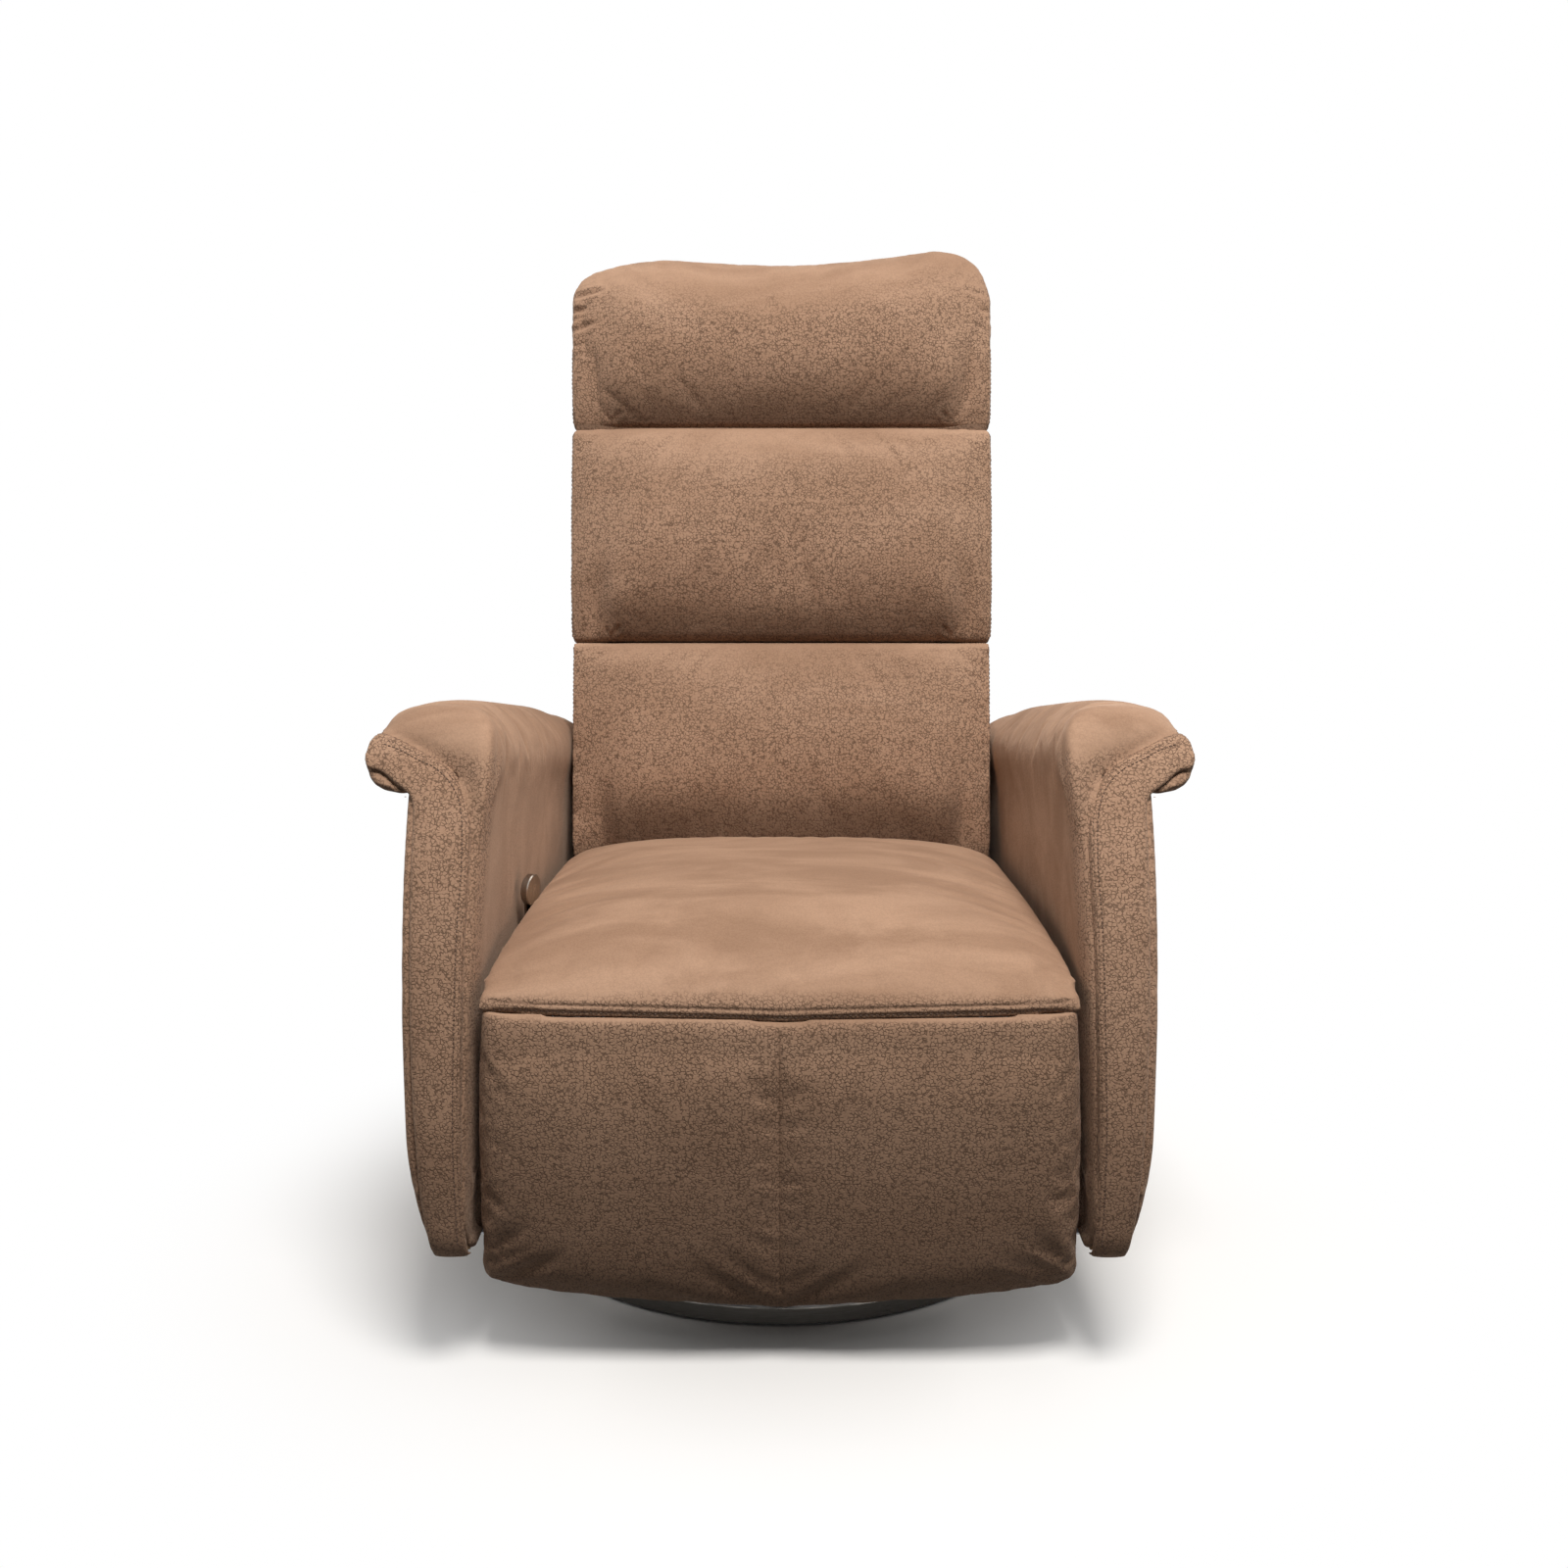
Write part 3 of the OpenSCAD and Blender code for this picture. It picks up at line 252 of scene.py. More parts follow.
def new_object(name: str, mesh: bpy.types.Mesh) -> bpy.types.Object:
    """Links a mesh to the scene as an object at the origin.

    Args:
        name: the object's name.
        mesh: its mesh.

    Returns:
        The new object.
    """
    piece = bpy.data.objects.new(name, mesh)
    bpy.context.scene.collection.objects.link(piece)
    return piece


def plain_mesh(piece: bpy.types.Object) -> None:
    """Turns what a piece's modifiers make into its plain mesh, and removes them.

    Args:
        piece: the piece, which keeps its name.
    """
    graph = bpy.context.evaluated_depsgraph_get()
    made = bpy.data.meshes.new_from_object(piece.evaluated_get(graph), preserve_all_data_layers=True,
                                           depsgraph=graph)
    piece.modifiers.clear()
    old = piece.data
    piece.data = made
    bpy.data.meshes.remove(old)


def get_points(mesh: bpy.types.Mesh, what: str = "co") -> np.ndarray:
    """A mesh's points, or their normals.

    Args:
        mesh: the mesh.
        what: "co" or "normal".

    Returns:
        One row for each vertex.
    """
    out = np.zeros(len(mesh.vertices) * 3)
    mesh.vertices.foreach_get(what, out)
    return out.reshape(-1, 3)


def set_points(mesh: bpy.types.Mesh, points: np.ndarray) -> None:
    """Moves a mesh's points."""
    mesh.vertices.foreach_set("co", np.ascontiguousarray(points, float).ravel())
    mesh.update()


def shade_smooth(piece: bpy.types.Object) -> bpy.types.Object:
    """Shades a piece's faces smooth.

    Args:
        piece: the piece.

    Returns:
        The same piece.
    """
    for polygon in piece.data.polygons:
        polygon.use_smooth = True
    return piece


def loft(name: str, rings: np.ndarray, ignored: int | None = None) -> bpy.types.Object:
    """Builds a closed form through rings of points, with a cap at each end.

    Args:
        name: the piece's name.
        rings: an array of rings, points and coordinates.
        ignored: the axis that is left out when a cap is laid flat, or None for the thinnest.

    Returns:
        The new object, with its faces pointing outwards.
    """
    rings = np.asarray(rings, float)
    count, around = rings.shape[:2]
    bm = bmesh.new()
    verts = [[bm.verts.new(p) for p in ring] for ring in rings]
    for i in range(count - 1):
        for j in range(around):
            k = (j + 1) % around
            bm.faces.new((verts[i][j], verts[i][k], verts[i + 1][k], verts[i + 1][j]))
    # The caps may be hollow-sided, so they are laid flat and cut into triangles that stay inside them
    for ring, corners in ((rings[0], verts[0]), (rings[-1], verts[-1])):
        axis = int(np.argmin(np.ptp(ring, axis=0))) if ignored is None else ignored
        flat = [Vector((*np.delete(point, axis), 0.0)) for point in ring]
        for triangle in tessellate_polygon([flat]):
            bm.faces.new([corners[i] for i in triangle])
    bmesh.ops.remove_doubles(bm, verts=bm.verts, dist=1e-6)
    bmesh.ops.recalc_face_normals(bm, faces=bm.faces)
    mesh = bpy.data.meshes.new(name)
    bm.to_mesh(mesh)
    bm.free()
    return new_object(name, mesh)


# Finishes


SOFT = {"interpolation_type": "SMOOTHSTEP"}


@dataclass(frozen=True)
class Finish:
    """A real material and how its surface was made."""

    name: str
    roughness: float
    metallic: float = 0.0

    def build(self) -> bpy.types.Material:
        """Makes the material and returns it."""
        material = bpy.data.materials.new(self.name)
        material.use_nodes = True
        tree = material.node_tree
        tree.nodes.clear()
        shader = add(tree, "BsdfPrincipled", {"Roughness": self.roughness, "Metallic": self.metallic}, None)
        add(tree, "OutputMaterial", {"Surface": shader.outputs[0]}, None)
        self.paint(tree, shader)
        return material

    def paint(self, tree: bpy.types.NodeTree, shader: bpy.types.Node) -> None:
        """Adds the pattern of the finish to its shader.

        Args:
            tree: the material's nodes.
            shader: its shader.
        """
        raise NotImplementedError

    @staticmethod
    def lay(tree: bpy.types.NodeTree, shader: bpy.types.Node, tones: tuple[object, str, str],
            relief: tuple[object, float, float], side: str = "Normal") -> None:
        """Colours a surface from two tones and presses a relief into it.

        Args:
            tree: the material's nodes.
            shader: its shader.
            tones: the share of the second tone, and both tones' hex colours.
            relief: the height, its strength and its depth in metres.
            side: which of the shader's normals takes the relief.
        """
        tone = add(tree, "Mix", {0: tones[0], 6: linear(tones[1]), 7: linear(tones[2])}, 2, data_type="RGBA")
        tree.links.new(tone, shader.inputs["Base Color"])
        bump = add(tree, "Bump", {"Height": relief[0], "Strength": relief[1], "Distance": relief[2]})
        tree.links.new(bump, shader.inputs[side])


@dataclass(frozen=True)
class BrushedMicrofibre(Finish):
    """Faux leather of brushed microfibre with a pressed pebble grain.

    The eye sees dark pits and short creases about 3 mm apart between lighter pebbles. Where the surface faces
    up it has been rubbed smooth, and shows soft light and dark patches of nap instead.
    """

    light: str = "b5937a"
    deep: str = "96765f"
    # Colour of the grain's pits, which the painted shade darkens towards too
    pit_and_shade: str = "463327"
    grain: float = 3.0 * MM
    patch: float = 80 * MM

    def paint(self, tree: bpy.types.NodeTree, shader: bpy.types.Node) -> None:
        """Adds nap patches, pressed grain, the painted shade of the crease attribute and a soft sheen.

        Args:
            tree: the material's nodes.
            shader: its shader.
        """
        place = add(tree, "Attribute", out="Vector", attribute_name="rest_place")
        worn, crease = (add(tree, "Attribute", out="Fac", attribute_name=name) for name in ("nap", "crease"))
        # The pebbles are stirred a little, so that their rows never line up
        stir = add(tree, "TexNoise", {"Vector": place, "Scale": 0.5 / self.grain, "Detail": 1.0}, "Color")
        off = add(tree, "VectorMath", (stir, (0.5, 0.5, 0.5)), operation="SUBTRACT")
        warped = add(tree, "VectorMath", (off, (0.9 * self.grain,) * 3, place), operation="MULTIPLY_ADD")
        cells = add(tree, "TexVoronoi", {"Vector": warped, "Scale": 0.86 / self.grain, "Randomness": 0.9},
                    "Distance", feature="DISTANCE_TO_EDGE")
        valley = add(tree, "MapRange", (cells, 0.02, 0.19, 1.0, 0.0), **SOFT)
        breaks = add(tree, "TexNoise", {"Vector": place, "Scale": 0.8 / self.grain, "Detail": 1.0})
        gate = add(tree, "MapRange", (breaks, 0.30, 0.56), **SOFT)
        pressed = add(tree, "Math", (valley, gate), operation="MULTIPLY")
        # Rubbed patches: the grain fades where the surface faces up, and unevenly
        drift = add(tree, "TexNoise", {"Vector": place, "Scale": 0.5 / self.patch, "Detail": 3.0,
                                       "Roughness": 0.55})
        rubbed = add(tree, "Math", (drift, 0.5, worn), operation="MULTIPLY_ADD")
        kept = add(tree, "MapRange", (rubbed, 0.2, 1.1, 1.0, 0.14), **SOFT)
        grain = add(tree, "Math", (pressed, kept), operation="MULTIPLY")
        # Strokes of a hand over the nap: wide and soft, and clear only where the nap is long
        across = add(tree, "Mapping", {"Vector": place, "Scale": (0.45, 1.15, 1.0)})
        strokes = add(tree, "TexNoise", {"Vector": across, "Scale": 1.0 / self.patch, "Detail": 4.0,
                                         "Roughness": 0.6, "Distortion": 0.6})
        stroke = add(tree, "MapRange", (strokes, 0.34, 0.68), **SOFT)
        reach = add(tree, "MapRange", {"Value": worn, "To Min": 0.30, "To Max": 0.75})
        centred = add(tree, "Math", (stroke, 0.45), operation="SUBTRACT")
        tone = add(tree, "Math", (centred, reach, 0.55), operation="MULTIPLY_ADD", use_clamp=True)
        base = add(tree, "Mix", {0: tone, 6: linear(self.deep), 7: linear(self.light)}, 2, data_type="RGBA")
        speck = add(tree, "TexNoise", {"Vector": place, "Scale": 900.0, "Detail": 2.0})
        speckle = add(tree, "MapRange", (speck, 0.3, 0.7, 0.93, 1.07))
        colour = add(tree, "VectorMath", {0: base, "Scale": speckle}, operation="SCALE")
        # The grain darkens towards the pit colour, and the crease attribute's painted shade does the same
        for share, depth in ((grain, 0.72), (crease, 0.8)):
            dark = add(tree, "Math", (share, depth), operation="MULTIPLY")
            colour = add(tree, "Mix", {0: dark, 6: colour, 7: linear(self.pit_and_shade)}, 2, data_type="RGBA")
        rough = add(tree, "MapRange", {"Value": stroke, "To Min": 0.92, "To Max": 0.78})
        relief = add(tree, "Math", (speck, 0.12, grain), operation="MULTIPLY_ADD")
        bump = add(tree, "Bump", {"Strength": 0.8, "Distance": 0.45 * MM, "Height": relief}, invert=True)
        for socket, name in ((colour, "Base Color"), (rough, "Roughness"), (bump, "Normal")):
            tree.links.new(socket, shader.inputs[name])
        for name, value in (("Sheen Weight", 0.2), ("Sheen Roughness", 0.45), ("Specular IOR Level", 0.22),
                            ("Sheen Tint", linear("e6cdb8"))):
            shader.inputs[name].default_value = value


@dataclass(frozen=True)
class SewingThread(Finish):
    """Waxed polyester thread: a little darker than the cover, with the twist of its plies."""

    colour: str = "6f543f"
    dark: str = "47342a"
    twist: float = 0.9 * MM

    def paint(self, tree: bpy.types.NodeTree, shader: bpy.types.Node) -> None:
        """Adds the twisted plies.

        Args:
            tree: the material's nodes.
            shader: its shader.
        """
        place = add(tree, "Attribute", out="Vector", attribute_name="rest_place")
        plies = add(tree, "TexWave", {"Vector": place, "Scale": 0.3 / self.twist, "Distortion": 2.0}, "Fac",
                    bands_direction="DIAGONAL")
        self.lay(tree, shader, (plies, self.dark, self.colour), (plies, 0.5, 0.1 * MM))


@dataclass(frozen=True)
class LacqueredVeneer(Finish):
    """Dark stained veneer under gloss lacquer: long fine grain under a mirror-smooth coat."""

    light: str = "5a4335"
    dark: str = "241a15"
    ring: float = 16 * MM

    def paint(self, tree: bpy.types.NodeTree, shader: bpy.types.Node) -> None:
        """Adds the veneer's grain along Y, its pores and the lacquer.

        Args:
            tree: the material's nodes.
            shader: its shader.
        """
        where = add(tree, "TexCoord", out="Object")
        long = add(tree, "Mapping", {"Vector": where, "Scale": (1.0, 0.07, 1.0)})
        figure = add(tree, "TexNoise", {"Vector": long, "Scale": 0.7 / self.ring, "Detail": 5.0,
                                        "Roughness": 0.6, "Distortion": 0.5})
        wave = add(tree, "TexWave", {"Vector": long, "Scale": 0.3 / self.ring, "Distortion": 9.0,
                                     "Detail": 3.0, "Detail Scale": 1.4}, "Fac", bands_direction="X")
        mixed = add(tree, "Math", (figure, wave), operation="MULTIPLY")
        pores = add(tree, "TexNoise", {"Vector": long, "Scale": 900.0, "Detail": 1.0})
        both = add(tree, "Math", (pores, 0.3, mixed), operation="MULTIPLY_ADD")
        share = add(tree, "MapRange", (both, 0.2, 0.75))
        peel = add(tree, "TexNoise", {"Vector": where, "Scale": 60.0})
        self.lay(tree, shader, (share, self.dark, self.light), (peel, 0.05, 0.3 * MM), "Coat Normal")
        for name, value in (("Specular IOR Level", 0.2), ("Coat Weight", 0.45), ("Coat IOR", 1.3),
                            ("Coat Roughness", 0.08)):
            shader.inputs[name].default_value = value


class Grind(Enum):
    """Which way a metal's scratches run, as the stretch of their pattern along X, Y and Z."""

    ROUND = (0.02, 0.02, 1.0)
    LONG = (1.0, 1.0, 0.03)
    NONE = (1.0, 1.0, 1.0)


@dataclass(frozen=True)
class WorkedMetal(Finish):
    """Bare or plated metal: fine scratches from brushing, or the faint mottle of a plating bath."""

    metallic: float = 1.0
    colour: str = "b8b4ae"
    shade: str = "8e8a84"
    grind: Grind = Grind.NONE
    scratch: float = 0.4 * MM

    def paint(self, tree: bpy.types.NodeTree, shader: bpy.types.Node) -> None:
        """Adds the scratches or the mottle to colour, roughness and bump.

        Args:
            tree: the material's nodes.
            shader: its shader.
        """
        where = add(tree, "TexCoord", out="Object")
        drawn = add(tree, "Mapping", {"Vector": where, "Scale": self.grind.value})
        fine = add(tree, "TexNoise", {"Vector": drawn, "Scale": 1.0 / self.scratch, "Detail": 3.0})
        cloud = add(tree, "TexNoise", {"Vector": where, "Scale": 22.0, "Detail": 3.0})
        both = add(tree, "Math", (fine, cloud), operation="MULTIPLY")
        share = add(tree, "MapRange", (both, 0.12, 0.42))
        rough = add(tree, "MapRange", (both, 0.12, 0.42, self.roughness * 1.25, self.roughness * 0.8))
        tree.links.new(rough, shader.inputs["Roughness"])
        self.lay(tree, shader, (share, self.shade, self.colour),
                 (fine, 0.0 if self.grind is Grind.NONE else 0.12, 0.05 * MM))


@dataclass(frozen=True)
class Coating(Finish):
    """Powder coat, moulded plastic or rubber: one colour with a fine orange-peel or moulded texture."""

    colour: str = "17171a"
    dust: str = "2b2a2b"
    peel: float = 1.1 * MM
    depth: float = 0.12 * MM

    def paint(self, tree: bpy.types.NodeTree, shader: bpy.types.Node) -> None:
        """Adds the texture of the surface and a trace of dust.

        Args:
            tree: the material's nodes.
            shader: its shader.
        """
        where = add(tree, "TexCoord", out="Object")
        grit = add(tree, "TexNoise", {"Vector": where, "Scale": 0.8 / self.peel, "Detail": 3.0})
        cloud = add(tree, "TexNoise", {"Vector": where, "Scale": 14.0, "Detail": 4.0})
        share = add(tree, "MapRange", (cloud, 0.4, 0.75))
        rough = add(tree, "MapRange", {"Value": grit, "To Min": self.roughness * 0.85,
                                       "To Max": min(1.0, self.roughness * 1.2)})
        tree.links.new(rough, shader.inputs["Roughness"])
        self.lay(tree, shader, (share, self.colour, self.dust), (grit, 0.5, self.depth))


@dataclass(frozen=True)
class BirchPlywood(Finish):
    """Bare birch plywood: pale cross-banded layers about 1.4 mm thick, with a soft wandering grain."""

    light: str = "d7b88c"
    dark: str = "a88458"
    layer: float = 1.4 * MM

    def paint(self, tree: bpy.types.NodeTree, shader: bpy.types.Node) -> None:
        """Adds the layers, seen on the edges, and the grain.

        Args:
            tree: the material's nodes.
            shader: its shader.
        """
        where = add(tree, "TexCoord", out="Object")
        long = add(tree, "Mapping", {"Vector": where, "Scale": (1.0, 1.0, 0.08)})
        grain = add(tree, "TexNoise", {"Vector": long, "Scale": 160.0, "Detail": 4.0})
        layers = add(tree, "TexWave", {"Vector": where, "Scale": 0.16 / self.layer, "Distortion": 0.3}, "Fac",
                     bands_direction="X")
        both = add(tree, "Math", (layers, 0.35, grain), operation="MULTIPLY_ADD")
        share = add(tree, "MapRange", (both, 0.35, 0.95))
        self.lay(tree, shader, (share, self.light, self.dark), (grain, 0.3, 0.2 * MM))


@dataclass(frozen=True)
class WovenWebbing(Finish):
    """Elastic seat webbing: a coarse plain weave of dark yarn about 1.6 mm apart."""

    light: str = "4a4038"
    dark: str = "211c19"
    yarn: float = 1.6 * MM

    def paint(self, tree: bpy.types.NodeTree, shader: bpy.types.Node) -> None:
        """Adds both directions of the weave.

        Args:
            tree: the material's nodes.
            shader: its shader.
        """
        where = add(tree, "TexCoord", out="Object")
        ways = [add(tree, "TexWave", {"Vector": where, "Scale": 0.16 / self.yarn, "Distortion": 0.4}, "Fac",
                    bands_direction=way) for way in ("X", "Y")]
        weave = add(tree, "Math", ways, operation="MULTIPLY")
        self.lay(tree, shader, (weave, self.dark, self.light), (weave, 0.8, 0.4 * MM))


class Wardrobe:
    """All finishes of the chair, each made once."""

    def __init__(self) -> None:
        """Makes every material."""
        finishes: dict[str, Finish] = {
            "nubuck": BrushedMicrofibre("brushed_microfibre", 0.85),
            "thread": SewingThread("waxed_thread", 0.6),
            "wood_dark": LacqueredVeneer("stained_veneer_lacquered", 0.35),
            "rim_metal": WorkedMetal("brushed_steel_rim", 0.34, colour="9b958e", shade="6d6862",
                                     grind=Grind.ROUND),
            "ballast_steel": Coating("powder_coated_ballast", 0.55),
            "rubber_black": Coating("moulded_rubber", 0.8, colour="131313", dust="252423", depth=0.2 * MM),
            "steel_black": Coating("powder_coated_steel", 0.42),
            "steel_zinc": WorkedMetal("zinc_plated_steel", 0.35, colour="b9bbbd", shade="85878c"),
            "ball_steel": WorkedMetal("polished_bearing_steel", 0.08, colour="d4d5d8", shade="bfc0c4"),
            "rod_chrome": WorkedMetal("hard_chrome", 0.1, colour="d9dadd", shade="c3c5c9"),
            "plywood": BirchPlywood("birch_plywood", 0.6),
            "webbing": WovenWebbing("elastic_webbing", 0.85),
            "lever_nickel": WorkedMetal("satin_nickel", 0.3, colour="b5aca2", shade="857d75",
                                        grind=Grind.LONG),
            "plastic_black": Coating("moulded_plastic", 0.5, colour="121214", dust="1e1e20", depth=0.08 * MM),
        }
        self.materials = {slot: finish.build() for slot, finish in finishes.items()}

    def dress(self, piece: bpy.types.Object, slot: str, body: str | None = None, nodes: Sequence[str] = (),
              fill: float = 0.0) -> None:
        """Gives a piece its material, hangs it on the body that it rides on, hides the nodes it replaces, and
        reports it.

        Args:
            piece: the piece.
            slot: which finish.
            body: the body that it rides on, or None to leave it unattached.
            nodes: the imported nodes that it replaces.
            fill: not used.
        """
        piece.data.materials.clear()
        piece.data.materials.append(self.materials[slot])
        for polygon in piece.data.polygons:
            polygon.material_index = 0
        if body:
            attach(piece, body)
        if nodes:
            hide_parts(*nodes)
        log.info("%s: %d points", piece.name, len(piece.data.vertices))


# Soft pieces


@dataclass(frozen=True)
class Fill:
    """How a soft piece is filled before its seams are drawn in. With no frames it keeps its shape."""

    voxel: float = 5.5 * MM
    pressure: float = 4.0
    cap: float = 14 * MM
    frames: int = 20
    refine: bool = True


@dataclass
class Seam:
    """A seam or a crease that is drawn into a soft surface, with painted shade along its groove."""

    path: np.ndarray
    depth: float = 2.5 * MM
    width: float = 3.0 * MM
    lips: float = 0.3
    pucker: float = 0.0
    pucker_step: float = 14 * MM
    # How deep the painted shade along the groove is, from 0 to 1
    dark: float = 1.0
    rows: tuple[float, ...] = ()
    stitch: float = 5.0 * MM
    refine: bool = True
    snapped: np.ndarray = field(default_factory=lambda: np.zeros((0, 3)))


@dataclass
class SoftPiece:
    """A cushion or cover: lofted, filled, sewn, and ready for its finish.

    For points, held gives how firmly each is held in the filling, nap how much more it is rubbed than its
    slope says, and shade how much painted shade it gets. The ignored axis is as in loft().
    """

    name: str
    rings: np.ndarray
    fill: Fill
    seams: list[Seam]
    held: Amount | None = None
    nap: Amount | None = None
    ignored: int | None = None
    shade: Amount | None = None

    def make(self) -> bpy.types.Object:
        """Lofts, fills and sews the piece.

        Returns:
            The finished object.
        """
        self.piece = loft(self.name, self.rings, self.ignored)
        remesh = self.piece.modifiers.new("remesh", "REMESH")
        remesh.mode = "VOXEL"
        remesh.voxel_size = self.fill.voxel
        plain_mesh(self.piece)
        if self.fill.frames:
            self.inflate()
        if self.fill.refine:
            finer = self.piece.modifiers.new("finer", "SUBSURF")
            finer.levels = finer.render_levels = 1
            plain_mesh(self.piece)
        self.sew()
        return shade_smooth(self.piece)

    def inflate(self) -> None:
        """Fills the piece by cloth simulation with pressure, and caps how far a point moves."""
        mesh, cap = self.piece.data, self.fill.cap
        start = get_points(mesh)
        firm = np.clip(self.held(start), 0, 1)
        group = self.piece.vertex_groups.new(name="held")
        levels = np.round(firm, 1)
        for level in np.unique(levels):
            if level > 0:
                group.add(np.nonzero(levels == level)[0].tolist(), float(level), "REPLACE")
        modifier = self.piece.modifiers.new("filling", "CLOTH")
        cloth = modifier.settings
        cloth.quality = 4
        cloth.use_pressure = True
        cloth.uniform_pressure_force = self.fill.pressure
        cloth.effector_weights.gravity = 0
        cloth.vertex_group_mass = "held"
        cloth.tension_stiffness = cloth.compression_stiffness = 12
        cloth.bending_stiffness = 0.4
        cloth.shrink_min = -0.01
        modifier.point_cache.frame_start = 1
        modifier.point_cache.frame_end = self.fill.frames
        scene = bpy.context.scene
        for frame in range(1, self.fill.frames + 1):
            scene.frame_set(frame)
        graph = bpy.context.evaluated_depsgraph_get()
        shift = get_points(self.piece.evaluated_get(graph).data) - start
        self.piece.modifiers.clear()
        self.piece.vertex_groups.clear()
        scene.frame_set(1)
        far = np.linalg.norm(shift, axis=1, keepdims=True)
        # The cap is soft, so that it leaves no flat plateau
        shift *= np.where(far > 1e-9, cap * np.tanh(far / cap) / np.maximum(far, 1e-9), 0)
        shift *= (1 - firm)[:, None]
        set_points(mesh, start + shift)
        moved = np.linalg.norm(shift, axis=1) / MM
        log.info("%s: filling moved %.1f mm at most, %.1f mm on average", self.name, moved.max(),
                 moved.mean())

    def sew(self) -> None:
        """Snaps each seam to the surface, refines the mesh along it and draws it in."""
        for seam in self.seams:
            tree = BVHTree.FromObject(self.piece, bpy.context.evaluated_depsgraph_get())
            seam.snapped = np.array([tree.find_nearest(Vector(p))[0] for p in spaced(seam.path, SEAM_STEP)])
        self.refine_along([s for s in self.seams if s.refine])
        mesh = self.piece.data
        points, normals = get_points(mesh), get_points(mesh, "normal")
        crease = np.zeros(len(points))
        shift = np.zeros_like(points)
        for seam in self.seams:
            distance, index = self.nearest(points, seam.snapped, 4 * seam.width + 0.02 * (seam.pucker > 0))
            near = np.nonzero(distance < 1)[0]
            d, w = distance[near], seam.width
            ends = smooth_step(np.minimum(index[near], len(seam.snapped) - 1 - index[near]), -1, 6)
            dip = np.exp(-(d / w) ** 2) - seam.lips * np.exp(-((d - 2.0 * w) / w) ** 2)
            fold = seam.pucker * np.array([noise.noise(Vector((a / seam.pucker_step, 0.37, 0.0)))
                                           for a in index[near] * SEAM_STEP])
            fold *= np.exp(-(d / PUCKER_REACH) ** 1.5)
            shift[near] -= normals[near] * ((seam.depth * dip * ends) + fold)[:, None]
            # Painted shade along the groove, fading out at the seam's ends
            crease[near] = np.maximum(crease[near], seam.dark * np.exp(-(d / (0.55 * w)) ** 2) * ends)
        set_points(mesh, points + shift)
        # The painted shade from shade() joins the painted shade of the seams
        if self.shade:
            crease = np.maximum(crease, self.shade(get_points(mesh)))
        write_notes(mesh, crease, self.nap)

    def refine_along(self, seams: list[Seam]) -> None:
        """Cuts the mesh finer beside seams, so that they stay crisp.

        Args:
            seams: the seams.
        """
        if not seams:
            return
        bm = bmesh.new()
        bm.from_mesh(self.piece.data)
        points = np.array([v.co for v in bm.verts])
        close = np.zeros(len(points), bool)
        for seam in seams:
            close |= self.nearest(points, seam.snapped, 2.2 * seam.width)[0] < 1
        bm.verts.ensure_lookup_table()
        edges = [e for e in bm.edges if close[e.verts[0].index] and close[e.verts[1].index]]
        bmesh.ops.subdivide_edges(bm, edges=edges, cuts=1, use_grid_fill=True, smooth=0)
        bm.to_mesh(self.piece.data)
        bm.free()

    @staticmethod
    def nearest(points: np.ndarray, path: np.ndarray, reach: float) -> tuple[np.ndarray, np.ndarray]:
        """Finds how far each point lies from a path.

        Args:
            points: the points.
            path: the path's points.
            reach: points further away than this are left at a distance of 1 m.

        Returns:
            The distances, and the index of the nearest point of the path.
        """
        distance, index = np.full(len(points), 1.0), np.zeros(len(points), int)
        low, high = path.min(0) - reach, path.max(0) + reach
        tree = KDTree(len(path))
        for i, p in enumerate(path):
            tree.insert(p, i)
        tree.balance()
        for i in np.nonzero(((points > low) & (points < high)).all(1))[0]:
            _, j, d = tree.find(points[i])
            if d < reach:
                distance[i], index[i] = d, j
        return distance, index


def write_notes(mesh: bpy.types.Mesh, crease: np.ndarray | float = 0.0, rubbed: Amount | None = None) -> None:
    """Writes the attributes that the upholstery's finish reads: place at rest, nap, and crease, which holds
    painted shade.

    Args:
        mesh: the mesh.
        crease: how much painted shade each point gets along seams and creases, from 0 to 1.
        rubbed: gives, for points, how much more each is rubbed than its slope says, or less if negative.
    """
    points, normals = get_points(mesh), get_points(mesh, "normal")
    smooth = smooth_step(normals[:, 2], 0.15, 0.95)
    if rubbed:
        smooth = np.clip(smooth + rubbed(points), 0, 1)
    # Painted shade on faces turned towards the floor, kept where the painted shade of seams and creases is
    # deeper
    shade = np.maximum(0.55 * smooth_step(-normals[:, 2], -0.10, 0.62), crease)
    # The crease attribute carries this painted shade to the finish
    for name, kind, slot, values in (("rest_place", "FLOAT_VECTOR", "vector", points),
                                     ("nap", "FLOAT", "value", smooth), ("crease", "FLOAT", "value", shade)):
        layer = mesh.attributes.get(name) or mesh.attributes.new(name, kind, "POINT")
        layer.data.foreach_set(slot, values.astype(np.float32).ravel())


